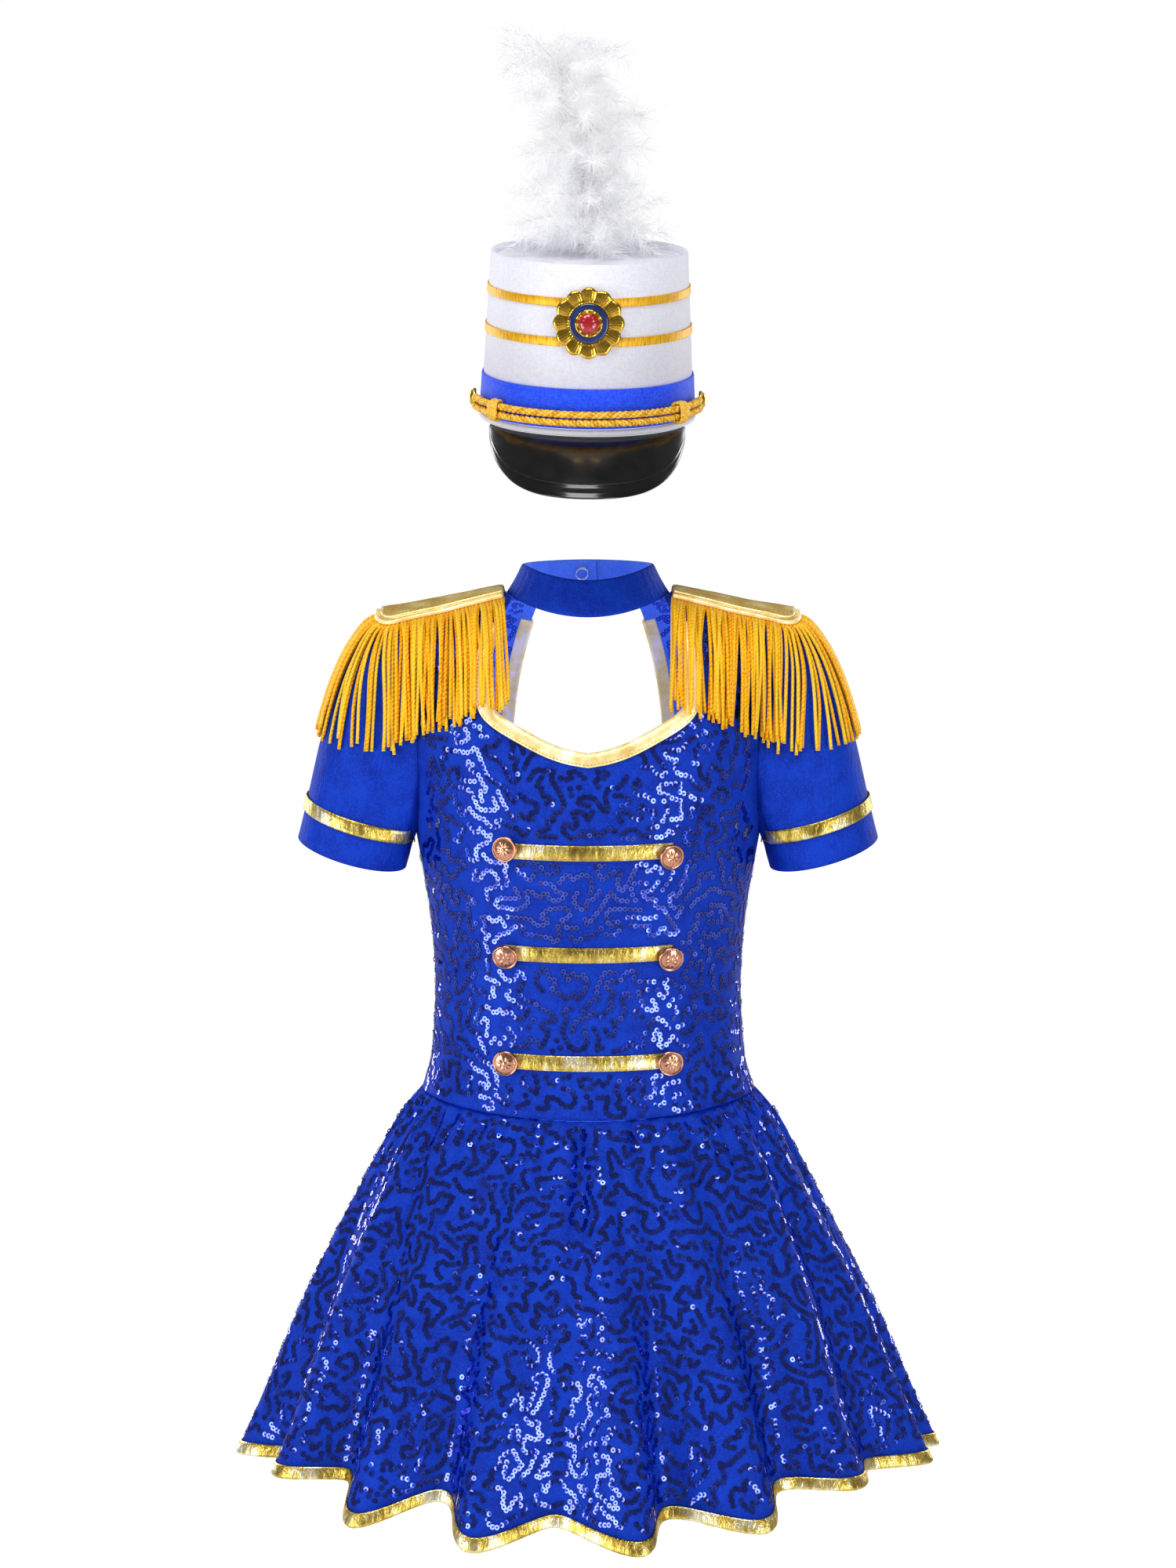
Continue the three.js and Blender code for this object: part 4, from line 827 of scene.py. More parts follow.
def binding(name, opening, facing, count, top, node):
    """Pale gold tape folded over the opening's edge, its section a flat U."""
    edge = both_halves(rounded_line(opening, count))
    edge = edge[edge[:, 1] < top]
    ahead = unit(np.gradient(edge, axis=0))
    into_cloth = np.stack([ahead[:, 1], -ahead[:, 0]], 1)
    outer, inner, thick = 0.5, -CLOTH - 0.5, 0.9
    bulge = [(8, outer), (8, outer + thick * 0.8), (7.4, outer + thick), (4, outer + thick + 0.15), (0.6, outer + thick)]
    fold = [(-1.3, 0.7), (-2.1, -0.1), (-2.3, -0.75), (-2.1, -1.4), (-1.3, -2.2)]
    under = [(0.6, inner - thick), (7.4, inner - thick), (8, inner - thick * 0.8), (8, inner), (-0.7, inner)]
    inside = [(-1.2, -0.75), (-0.7, outer)]
    rows = []
    for reach, offset in bulge + fold + under + inside:
        place = edge + into_cloth * reach
        phi, v = body_under(place[:, 0], place[:, 1], facing)
        looser = np.sign(offset + 0.75) * (0.2 + 0.7 * smoothstep((v - 7.4) / 1.6))
        rows.append(off_surface(body_point, phi, v, offset + looser * (reach > 0)))
    place = edge + into_cloth * 6.4
    phi, v = body_under(place[:, 0], place[:, 1], facing)
    line, above = [
        off_surface(body_point, phi, v, outer + thick + 0.3 + more + 0.7 * smoothstep((v - 7.4) / 1.6)) for more in (0, 1)
    ]
    return closed_piece(name, np.stack(rows), PALE_FOIL_PAINTED_GLOW, "pale_foil_binding", [node]), (line, above - line)


# Collar

COLLAR_LOW = {"half": 58, "front": 57, "back": 56, "z_front": -9, "z_side": 5, "z_back": 2}
COLLAR_TOP = {"half": 46.8, "front": 46, "back": 46, "z_front": 16.2, "z_side": 26, "z_back": 27}
COLLAR_CLOTH = 2.0


def collar_point(phi, h):
    phi, h = np.broadcast_arrays(np.asarray(phi, float), np.asarray(h, float))
    s, c = np.sin(phi), np.cos(phi)
    at = {name: COLLAR_LOW[name] + (COLLAR_TOP[name] - COLLAR_LOW[name]) * h for name in COLLAR_LOW}
    depth = np.where(c > 0, at["front"], at["back"])
    middle = np.where(c > 0, at["z_front"], at["z_back"])
    lapped = smoothstep((math.radians(-138) - phi) / math.radians(10)) * (COLLAR_CLOTH + 0.5)
    inwards = 0.8 * 4 * h * (1 - h) + lapped
    return stack(
        (at["half"] - inwards) * s, -(depth - inwards) * c, middle + (at["z_side"] - middle) * s * s + 0.3
    )


def make_collar():
    """A doubled knit band with a rounded top fold, lightly puckered by its seam."""
    turns = np.radians(np.linspace(-188, 212, 330))
    section = [
        (0.0, -0.35), (0.02, 0.0), (0.12, 0.1), (0.3, 0.15), (0.5, 0.15), (0.7, 0.12), (0.88, 0.05), (0.96, -0.2),
        (1.0, -0.9), (0.96, -1.7), (0.88, -1.95), (0.5, -2.0), (0.12, -2.0), (0.02, -1.95), (0.0, -1.6),
    ]
    rows = []
    for h, offset in section:
        pucker = 0.22 * np.sin(turns * 61 + 2 * np.sin(turns * 7)) * math.exp(-h / 0.25) * (offset > -0.5)
        pucker = pucker + 0.12 * np.sin(turns * 37 + 3 * np.sin(turns * 5)) * (offset > -0.5)
        rows.append(off_surface(collar_point, turns, np.full(len(turns), h), offset + pucker - 0.15))
    collar = closed_piece("collar_knit_band", np.stack(rows), PLAIN_KNIT, "plain_cloth", ["collar_band"])
    collar.data.materials.append(WRONG_SIDE_PAINTED_BACKLIT)
    for face in collar.data.polygons:
        if face.normal.xy.dot(face.center.xy) < -0.02:
            face.material_index = 1
    return collar


# Epaulettes

BOARD = {"inner": 59, "outer": 147, "half_width": 28, "corner": 13, "thickness": 3}
FRINGE = {"cords": 176, "length": 93, "radius": 1.25, "strip": 1.4}
LIE = 0.6
BOARD_LIFT = LIE + FRINGE["strip"] + 0.8


def over_shoulder(side, x, y, offset):
    """The body's surface over the shoulder, from above, and a way off it."""
    x, y, offset = np.broadcast_arrays(*[np.asarray(value, float) for value in (x, y, offset)])

    def turn(v):
        row = body_row(v)
        depth = np.where(y < 0, row["front"], row["back"])
        out = np.arccos(np.minimum(np.abs(y) / depth, 1) ** (1 / row["tip"]))
        return np.where(y < 0, out, np.pi - out)

    low, high = np.full(x.shape, float(SHOULDER_TIP)), np.full(x.shape, float(NECK))
    for _ in range(36):
        v = (low + high) / 2
        beyond = body_point(turn(v), v)[..., 0] > x
        low, high = np.where(beyond, v, low), np.where(beyond, high, v)
    v = (low + high) / 2
    return off_surface(body_point, turn(v), v, offset) * [side, 1, 1]


def board_half_width(x):
    past = np.maximum(x - (BOARD["outer"] - BOARD["corner"]), 0)
    rounding = BOARD["corner"] - np.sqrt(np.maximum(BOARD["corner"] ** 2 - past**2, 0))
    return BOARD["half_width"] - 3 * (BOARD["outer"] - x) / (BOARD["outer"] - BOARD["inner"]) - rounding


def board_edge(shares):
    """The board's edge from above, from the neck along the front, round the end and back: points and ways out."""
    far, flat = BOARD["outer"] - BOARD["corner"], BOARD["half_width"] - BOARD["corner"]
    line = [(BOARD["inner"], 3 - BOARD["half_width"]), (far, -BOARD["half_width"])]
    for turn in np.radians(np.linspace(-90, 90, 41)):
        y = flat if turn > 0 else -flat
        line.append((far + BOARD["corner"] * math.cos(turn), y + BOARD["corner"] * math.sin(turn)))
    line += [(far, BOARD["half_width"]), (BOARD["inner"], BOARD["half_width"] - 3)]
    even = spaced(np.array(line), 801)
    ahead = unit(np.gradient(even, axis=0))
    at = np.asarray(shares) * 800
    where = np.stack([np.interp(at, np.arange(801), even[:, k]) for k in range(2)], 1)
    way = unit(np.stack([np.interp(at, np.arange(801), ahead[:, k]) for k in range(2)], 1))
    return where, np.stack([way[:, 1], -way[:, 0]], 1)


def make_board(word, side):
    """A foil-covered pad over the shoulder, crowned, with its edges rolled under."""
    xs = np.concatenate([np.linspace(BOARD["inner"], 134, 40), 134 + 13 * np.sin(np.linspace(0.08, np.pi / 2, 14))])
    xs[-1] -= 0.02
    across = np.sin(np.linspace(-np.pi / 2, np.pi / 2, 33))
    w, x = np.meshgrid(across, xs, indexing="ij")
    y = w * board_half_width(x)
    bumps = [noise.noise(Vector((px / 16, py / 9, side))) for px, py in zip(x.ravel(), y.ravel())]
    rim = np.minimum((1 - np.abs(w)) * board_half_width(x), np.minimum(x - BOARD["inner"], BOARD["outer"] - x) + 0.3)
    roll = np.clip(rim / 4, 0, 1)
    height = 1.5 + 2.4 * np.sqrt(1 - (1 - roll) ** 2) + 0.5 * np.array(bumps).reshape(x.shape) * roll
    upper = over_shoulder(side, x, y, BOARD_LIFT + height)
    lower = over_shoulder(side, x, y, BOARD_LIFT + 0 * x)
    rows, columns = x.shape
    faces = grid_faces(rows, columns)
    count = rows * columns
    shell = [tuple(f) for f in faces] + [tuple(f[::-1] + count) for f in faces]
    edge = [*range(columns), *[j * columns + columns - 1 for j in range(1, rows)]]
    edge += [*[(rows - 1) * columns + i for i in range(columns - 2, -1, -1)], *[j * columns for j in range(rows - 2, 0, -1)]]
    shell += [(b, a, a + count, b + count) for a, b in zip(edge, edge[1:] + edge[:1])]
    points = np.concatenate([upper.reshape(-1, 3), lower.reshape(-1, 3)])
    board = make_piece(
        f"epaulette_{word}_board", points, shell, BOARD_LAME, "board_lame", [f"epaulette_board_{word}"]
    )
    turn_outwards(board)
    return board


def make_piping(word, side):
    """A corded edge: foil over cord, with its narrow stitched flange on the inside."""
    shares = np.linspace(0.002, 0.998, 190)
    where, out = board_edge(shares)
    radius = 1.45
    lift = BOARD_LIFT + 1.5 + 0.3
    rim = over_shoulder(side, where[:, 0], where[:, 1], lift)
    inner = over_shoulder(side, where[:, 0] - out[:, 0], where[:, 1] - out[:, 1], lift)
    path = rim + unit(rim - inner) * (radius + 0.15)
    on_board = [
        over_shoulder(side, where[:, 0] - out[:, 0] * 2.3, where[:, 1] - out[:, 1] * 2.3, BOARD_LIFT + rise)
        for rise in (3.65, 4.65)
    ]
    ridges = joined([band(tube(path, radius, 10)), band(tube(on_board[0], 0.75, 8))])
    piping = make_piece(
        f"epaulette_{word}_piping", *ridges, PALE_FOIL_PAINTED_GLOW, "pale_foil_binding", [f"epaulette_piping_{word}"]
    )
    turn_outwards(piping)
    return piping, [(on_board[0] + (on_board[1] - on_board[0]) * 0.75, on_board[1] - on_board[0])]


def clothes_tree(objects):
    """What the fringe rests on: the dress's own pieces, in millimetres."""
    points, faces, start = [], [], 0
    for obj in objects:
        mesh = obj.data
        points += [v.co / MM for v in mesh.vertices]
        faces += [tuple(k + start for k in polygon.vertices) for polygon in mesh.polygons]
        start = len(points)
    return BVHTree.FromPolygons(points, faces)


def hanging_cord(root, rim, away, tree, length, lift, drift, wave):
    """A cord's line: out under the board's edge, then down over whatever cloth it meets.

    It hangs like a taut string: from each point it makes straight for the cloth that sticks out most below.
    """
    across = np.array([-away[1], away[0], 0])
    drop = 2.5
    depths = np.arange(drop, length + drop, drop)
    share = depths / length
    side = drift * share**1.4 + wave * np.sin(3.0 * share + 6 * wave) * share
    cloth = np.full(len(depths), -50.0)
    for k, depth in enumerate(depths):
        start = rim + across * side[k] + away * 150
        start[2] = rim[2] - depth
        hit, normal, _, far = tree.ray_cast(Vector(start), Vector(-away), 200)
        if hit is not None:
            facing_it = abs(float(np.dot(np.array(normal), away)))
            cloth[k] = 150 - far + (FRINGE["radius"] + 1.3 + lift) / max(facing_it, 0.3)
    line, reach, run, last_side = [root, rim], 0.0, 0.0, 0.0
    for k, depth in enumerate(depths):
        if run >= length:
            break
        slope = np.max((cloth[k:] - reach) / np.arange(1, len(depths) - k + 1))
        new = reach + max(slope, -0.25)
        run += math.sqrt(drop**2 + (new - reach) ** 2 + (side[k] - last_side) ** 2)
        reach, last_side = new, side[k]
        line.append(np.array([*(rim + across * side[k] + away * reach)[:2], rim[2] - depth]))
    return np.array(line)


def make_fringe(word, side, tree):
    """Twisted rayon cords in two uneven layers, sewn side by side into a narrow heading under the board."""
    rng = random.Random(40 + side)
    middle = LIE + FRINGE["strip"] / 2
    parts, uvs = [], []
    count = FRINGE["cords"]
    order = [(k + 0.5 + rng.uniform(-0.3, 0.3)) / count for k in range(count)]
    where, out = board_edge(np.array(order))
    clump = [noise.noise(Vector((k * 0.33, side * 5.0, 0))) for k in range(count)]
    for k in range(count):
        (x, y), (ox, oy) = where[k], out[k]
        layer = k % 2
        away = np.array([side * ox, oy, 0])
        yaw = math.radians(rng.uniform(-5, 5))
        away = np.array(
            [away[0] * math.cos(yaw) - away[1] * math.sin(yaw), away[0] * math.sin(yaw) + away[1] * math.cos(yaw), 0]
        )
        root = over_shoulder(side, x - ox * 3.4, y - oy * 3.4, middle)
        rim = over_shoulder(side, x - ox * 0.4, y - oy * 0.4, middle + 0.3 * layer)
        further = (rim - root) / np.linalg.norm(rim - root) * 2.2
        drift = 4.2 * clump[k] + rng.uniform(-2.4, 2.4)
        line = hanging_cord(
            root, rim + further, away, tree, FRINGE["length"] * rng.uniform(0.95, 1.03), 2.2 * layer,
            drift, rng.uniform(-2.6, 2.6),
        )
        line = spaced(rounded_path(line), 19)
        rings = tube(line, FRINGE["radius"] * rng.uniform(0.92, 1.06), 6, towards=(-away[1], away[0], 0))
        parts.append(band(rings))
        around = np.linspace(0, 1, 6, endpoint=False)
        run = np.linspace(0, FRINGE["length"], 19)
        uvs.append(np.stack(np.meshgrid(around, run, indexing="ij"), -1).reshape(-1, 2))
    shares = np.linspace(0.004, 0.996, 120)
    where, out = board_edge(shares)
    heading = []
    for inwards, lift in [(-0.6, 0.9), (-0.9, 1.4), (-0.6, 2.0), (3, 2.0), (6.4, 1.9), (6.4, 0.7), (3, 0.7)]:
        heading.append(over_shoulder(side, where[:, 0] - out[:, 0] * inwards, where[:, 1] - out[:, 1] * inwards, lift))
    parts.append(band(np.stack(heading)))
    uvs.append(np.zeros((7 * 120, 2)))
    points, faces = joined(parts)
    fringe = make_piece(
        f"epaulette_{word}_fringe_cords", points, faces, RAYON_CORD, "fringe_cord", [f"epaulette_fringe_{word}"],
        uv=np.concatenate(uvs),
    )
    turn_outwards(fringe)
    return fringe


def rounded_path(points):
    """Chaikin's corner cutting, twice."""
    for _ in range(2):
        a, b = points[:-1], points[1:]
        cut = np.stack([a * 0.75 + b * 0.25, a * 0.25 + b * 0.75], 1).reshape(-1, points.shape[1])
        points = np.concatenate([points[:1], cut, points[-1:]])
    return points


# Plume

plume_row = smooth_table(
    ["x", "y", "reach"],
    [
        # height up the cap, the stem's middle, how far the down stands out
        (114.6, -2, -4, 56), (128, -1, -4, 68), (140, -2, -3, 60), (157, -3, -1, 53), (174, -3, 1, 47),
        (186, -4, 3, 45), (203, -1, 6, 51), (214, -15, 8, 40), (224, -23, 10, 47), (236, -20, 12, 60),
        (248, -24, 14, 52), (258, -22, 17, 34), (268, -15, 19, 14),
    ],
)
PLUME = {"feathers": 130, "barbs": 150, "barb_length": 18, "from": 118, "to": 252}


def make_plume():
    """Marabou: short soft shafts all round a stem, each with fine barbs that curl every way."""
    rng = np.random.default_rng(7)
    shafts, points, faces, start = [], [], [], 0
    up = np.array([0, 0, 1.0])
    for k in range(PLUME["feathers"]):
        share = (k + 0.5) / PLUME["feathers"]
        z = PLUME["from"] + (PLUME["to"] - PLUME["from"]) * share
        row = plume_row(z)
        turn = math.radians(137.5) * k + rng.uniform(-0.3, 0.3)
        out = np.array([math.cos(turn), math.sin(turn), 0])
        reach = float(row["reach"]) * rng.uniform(0.45, 0.95)
        rise, droop = rng.uniform(0.2, 0.75) + 0.5 * share**3, rng.uniform(0.2, 0.75)
        sway = np.cross(up, out) * rng.uniform(-0.3, 0.3)
        s = np.linspace(0.05, 1, 12)[:, None]
        base = np.array([float(row["x"]), float(row["y"]), z - 3])
        shaft = base + reach * (out * s + up * (rise * s - droop * s * s) + sway * s * s)
        shafts.append((shaft, out))
        count = PLUME["barbs"]
        at = rng.uniform(0.0, 1.0, count) ** 0.8
        root = np.stack([np.interp(at * 11, np.arange(12), shaft[:, c]) for c in range(3)], 1)
        ahead = unit(np.gradient(shaft, axis=0))
        way = unit(np.stack([np.interp(at * 11, np.arange(12), ahead[:, c]) for c in range(3)], 1))
        square = unit(np.cross(way, rng.normal(size=(count, 3)) + out * 0.2))
        lean = rng.uniform(0.25, 1.1, (count, 1))
        direction = unit(way * lean + square)
        curl = unit(rng.normal(size=(count, 3)) + way * 0.6 - up * 0.35)
        length = PLUME["barb_length"] * rng.uniform(0.55, 1.15, (count, 1)) * (1 - 0.25 * at[:, None])
        t = np.linspace(0, 1, 5)[None, :, None]
        line = root[:, None] + length[:, None] * (direction[:, None] * t + 0.45 * curl[:, None] * t * t)
        width = rng.uniform(0.2, 0.36, (count, 1, 1)) * (1 - 0.8 * t)
        flat = unit(np.cross(direction, rng.normal(size=(count, 3))))[:, None]
        ribbon = np.concatenate([line - flat * width, line + flat * width], 2).reshape(-1, 3)
        points.append(ribbon)
        cell = np.array([[2 * i, 2 * i + 1, 2 * i + 3, 2 * i + 2] for i in range(4)])
        faces.append((cell[None] + (np.arange(count) * 10)[:, None, None]).reshape(-1, 4) + start)
        start += len(ribbon)
    points = on_cap(np.concatenate(points))
    points[:, 2] -= 0.45 * np.maximum(points[:, 2] - 392, 0)  # the top wisps are short
    barbs = make_piece("plume_marabou_barbs", points, np.concatenate(faces), MARABOU_PAINTED_GLOW, "plume_down", ["plume"])
    quills = [band(tube(on_cap(shaft), np.linspace(0.45, 0.12, 12), 5)) for shaft, _ in shafts]
    heights = np.linspace(112, 248, 40)
    row = plume_row(heights)
    stem = np.stack([row["x"], row["y"], heights], 1)
    quills.append(band(tube(on_cap(stem), 0.08 * row["reach"] * np.clip((248 - heights) / 30, 0.02, 1), 10)))
    core = make_piece("plume_quills", *joined(quills), QUILL, "plume_down", ["plume"])
    turn_outwards(core)
    return barbs, core


# Small pieces that lie on the cloth

def stitch_row(points, normals, pitch=2.7, length=1.9, radius=0.2):
    """A row of top stitches along a line: each a thin spindle that sinks in at its ends."""
    run = np.concatenate([[0], np.cumsum(np.linalg.norm(np.diff(points, axis=0), axis=1))])
    middles = np.arange(pitch / 2, run[-1] - pitch / 2, pitch)

    def at(distance, values):
        return np.stack([np.interp(distance, run, values[:, k]) for k in range(3)], 1)

    out = unit(at(middles, normals))
    ahead = unit(at(middles + 0.4, points) - at(middles - 0.4, points))
    side = np.cross(ahead, out)
    centre = at(middles, points)
    rings = []
    for share, wide, high in ((-0.5, 0.35, -0.5), (-0.25, 1, 0.35), (0.25, 1, 0.35), (0.5, 0.35, -0.5)):
        for a in (0, math.pi / 2, math.pi, 3 * math.pi / 2):
            rings.append(
                centre + ahead * share * length + out * radius * (high + wide * math.cos(a))
                + side * radius * 1.3 * wide * math.sin(a)
            )
    grid = np.stack(rings, 1).reshape(-1, 3)
    one = [tuple(f) for f in grid_faces(4, 4, round_columns=True)] + [(3, 2, 1, 0), (12, 13, 14, 15)]
    faces = [tuple(k + 16 * n for k in face) for n in range(len(middles)) for face in one]
    return grid, faces


def sew(name, rows, material, slot):
    """All the stitches of one trim, in one mesh."""
    stitches = make_piece(name, *joined([stitch_row(*row) for row in rows]), material, slot)
    turn_outwards(stitches)
    return stitches


BAR = {"half_length": 59, "width": 11, "zs": (-170.2, -243, -319.8), "sag": 1.5}
BAR_SECTION = [
    (-5.5, 1.2), (-5.2, 1.85), (-4.2, 1.7), (-3, 2.2), (0, 2.4), (3, 2.2), (4.2, 1.7), (5.2, 1.85), (5.5, 1.2),
    (5.2, 0.75), (0, 0.75), (-5.2, 0.75),
]


def bar_line(z, across, off, count=90):
    x = np.linspace(-BAR["half_length"], BAR["half_length"], count)
    dip = BAR["sag"] * (1 - (x / BAR["half_length"]) ** 2)
    return under_view(x, z - dip + across, -1, off)


def make_bar(word, z):
    grid = np.stack([bar_line(z, across, off) for across, off in BAR_SECTION])
    bar = closed_piece(f"gold_bar_{word}_tape", grid, GOLD_FOIL, "foil_tape", [f"gold_bar_{word}"])
    rows = []
    for across in (-4.2, 4.2):
        line, above = bar_line(z, across, 1.85), bar_line(z, across, 2.85)
        rows.append((line, above - line))
    return bar, rows


def embossed_disc(radius, height, thickness, rings, sides, shank=0.0):
    """A disc that faces +Z with a worked front: height(share of the radius, angle) in millimetres."""
    shares = np.concatenate([[0.02], np.linspace(0.06, 1, rings - 1)])
    around = np.linspace(0, 2 * np.pi, sides, endpoint=False)
    share, angle = np.meshgrid(shares, around, indexing="ij")
    front = stack(share * radius * np.cos(angle), share * radius * np.sin(angle), thickness + height(share, angle))
    loops = [front]
    for r, z in ((1.02, thickness * 0.6), (0.97, 0.15), (0.9, 0.0), (1.7 / radius, 0.0), (1.6 / radius, -shank)):
        loops.append(stack(r * radius * np.cos(angle[:1]), r * radius * np.sin(angle[:1]), z))
    grid = np.concatenate(loops)
    rows = len(grid)
    faces = [tuple(f) for f in grid_faces(rows, sides, round_columns=True)]
    faces += [tuple(range(sides))[::-1], tuple((rows - 1) * sides + k for k in range(sides))]
    return grid.reshape(-1, 3), faces


def placed(points, centre, direction, spin=0.0):
    """Turns points that face +Z to face along a direction, and moves them to a centre."""
    turn = Vector((0, 0, 1)).rotation_difference(Vector(direction)).to_matrix() @ Matrix.Rotation(spin, 3, "Z")
    return points @ np.array(turn).T + np.asarray(centre)


def button_relief(share, angle):
    """A plain maker's pattern: a beaded rim round a low dome with an eight-petalled flower."""
    dome = 1.9 * np.sqrt(np.maximum(1 - (share / 0.8) ** 2, 0))
    rim = 0.75 * np.exp(-(((share - 0.93) / 0.06) ** 2))
    beads = 0.35 * np.exp(-(((share - 0.8) / 0.05) ** 2)) * (0.5 + 0.5 * np.cos(26 * angle))
    petal = 0.4 * np.exp(-(((share - 0.42) / 0.17) ** 2)) * (0.5 + 0.5 * np.cos(8 * angle))
    centre = 0.45 * np.exp(-((share / 0.13) ** 2))
    return dome * 0.8 + rim + beads + petal + centre


BUTTONS = [
    # name, side, bar, up from the bar's line, faces right, faces down
    ("top_left", -1, 0, 1.5, -0.04, 0.02), ("top_right", 1, 0, -3.5, 0.12, 0.2),
    ("middle_left", -1, 1, -2, 0.16, 0.24), ("middle_right", 1, 1, -3.5, -0.1, 0.24),
    ("bottom_left", -1, 2, -1.5, 0.14, 0.22), ("bottom_right", 1, 2, -1.5, -0.14, 0.24),
]


def make_button(name, side, bar, up, right, down):
    x, z = np.array([side * 56.0]), np.array([BAR["zs"][bar] + up])
    foot, above = under_view(x, z, -1, 0.0)[0], under_view(x, z, -1, 1.0)[0]
    out = above - foot
    points, faces = embossed_disc(9, button_relief, 2.4, 26, 72, shank=2.0)
    centre = foot + out * (0.6 + 1 + 0.3 + 2.2 + 0.6)
    points = placed(points, centre, out + np.array([right, 0, -down]), spin=0.3 * side + bar)
    button = make_piece(f"coat_button_{name}", points, faces, ROSE_GOLD, "button_metal", [f"button_{name}"])
    turn_outwards(button)
    return button


def make_snap(name, phi, out, node):
    """Half of a ring snap: a bright open ring pressed into the knit."""
    here = collar_point(phi, 0.62)
    normal = (off_surface(collar_point, np.array([phi]), np.array([0.62]), np.array([1.0]))[0] - here) * out
    centre = here + normal * (0.45 if out > 0 else COLLAR_CLOTH + 0.7)
    angle = np.linspace(0, 2 * np.pi, 40, endpoint=False)
    loops = [(3.5, 0), (3.4, 0.6), (3.7, 1.1), (4.3, 1.35), (4.9, 1.1), (5.3, 0.5), (5.3, 0)]
    grid = np.stack([stack(r * np.cos(angle), r * np.sin(angle), z) for r, z in loops])
    return closed_piece(name, placed(grid, centre, normal), NICKEL, "snap_steel", [node], round_it=True)


HEM_SECTION = [
    # millimetres below the cloth's edge, and off the cloth
    (-1.2, 0.2), (-1.2, 0.85), (0, 1.0), (2, 1.1), (4.4, 1.15), (7, 1.05), (8.2, 0.75), (8.8, 0.1), (9.0, -0.75),
    (8.8, -1.6), (8.2, -2.2), (4.4, -2.45), (0, -2.4), (-1.2, -2.3), (-1.2, -1.7), (0.4, -1.6), (0.4, 0.1),
]


def make_hem_tape(word, facing):
    quarter = np.pi / 2 - SIDE_SEAM
    middle = 0 if facing < 0 else np.pi
    turns = np.linspace(middle - quarter, middle + quarter, 320)
    rows = []
    for down, off in HEM_SECTION:
        wave = 0.12 * np.sin(turns * 90 + 3 * np.sin(turns * 11)) * (off > 0.5)
        rows.append(off_surface(skirt_up, turns, np.full(320, -1 - down / 289), off + wave))
    tape = closed_piece(f"hem_tape_{word}_foil", np.stack(rows), GOLD_FOIL, "foil_tape", [f"hem_tape_{word}"])
    at = np.full(320, -1 - 0.9 / 289)
    line, above = [off_surface(skirt_up, turns, at, np.full(320, off)) for off in (1.15, 2.15)]
    return tape, (line, above - line)


# Cap pieces

def cap_ring(name, section, material, slot, node, count=150):
    """A band round the crown from its section: height up the crown and off its cloth."""
    turns = np.linspace(0, 2 * np.pi, count, endpoint=False)
    grid = np.stack([cap_point(turns, h, off) for h, off in section])
    return closed_piece(name, on_cap(grid), material, slot, [node], round_it=True)


def make_cap_top():
    """The crown's top, set a little below its rim and slightly domed."""
    turns = np.linspace(0, 2 * np.pi, 96, endpoint=False)
    rows = []
    for share, lift in ((0.02, 1.6), (0.3, 1.45), (0.6, 1.0), (0.85, 0.4), (0.97, 0.0), (1.0, -0.5), (1.0, -1.6), (0.9, -2.0), (0.02, -2.0)):
        ring = cap_point(turns, CAP["height"] - 4, -3.1) * [share, share, 1]
        ring[:, 2] += lift
        rows.append(ring)
    grid = np.stack(rows)
    faces = [tuple(f) for f in grid_faces(len(rows), 96, round_columns=True)]
    faces += [tuple(range(96))[::-1], tuple((len(rows) - 1) * 96 + k for k in range(96))]
    top = make_piece("cap_top_cloth", on_cap(grid), faces, CAP_CLOTH, "cap_cloth", ["cap_top"])
    turn_outwards(top)
    return top


PEAK = {"span": math.radians(66), "half": 69, "reach": 48.7, "drop": 32, "thickness": 2}


def peak_point(u, w):
    u, w = np.broadcast_arrays(np.asarray(u, float), np.asarray(w, float))
    attach = cap_point(u * PEAK["span"], -0.9, -1.2)
    x = PEAK["half"] * np.sin(u * np.pi / 2)
    share = np.abs(x) / PEAK["half"]
    side = float(cap_point(PEAK["span"], 0.0)[1])
    front = 86.5 + side
    edge = stack(
        x, side - (front + PEAK["reach"]) * np.sqrt(np.maximum(1 - share**2, 0)),
        -2 - PEAK["drop"] * np.sqrt(np.maximum(1 - share**4, 0)),
    )
    crown = 3.2 * np.sin(np.pi * w) * np.cos(u * np.pi / 2)
    ridge = 0.8 * np.exp(-(((w - 0.86) / 0.018) ** 2)) * smoothstep((0.93 - np.abs(u)) / 0.1)
    rolled = 0.9 * smoothstep((w - 0.955) / 0.045)
    return attach + (edge - attach) * w[..., None] + stack(0, 0, crown + ridge - rolled)


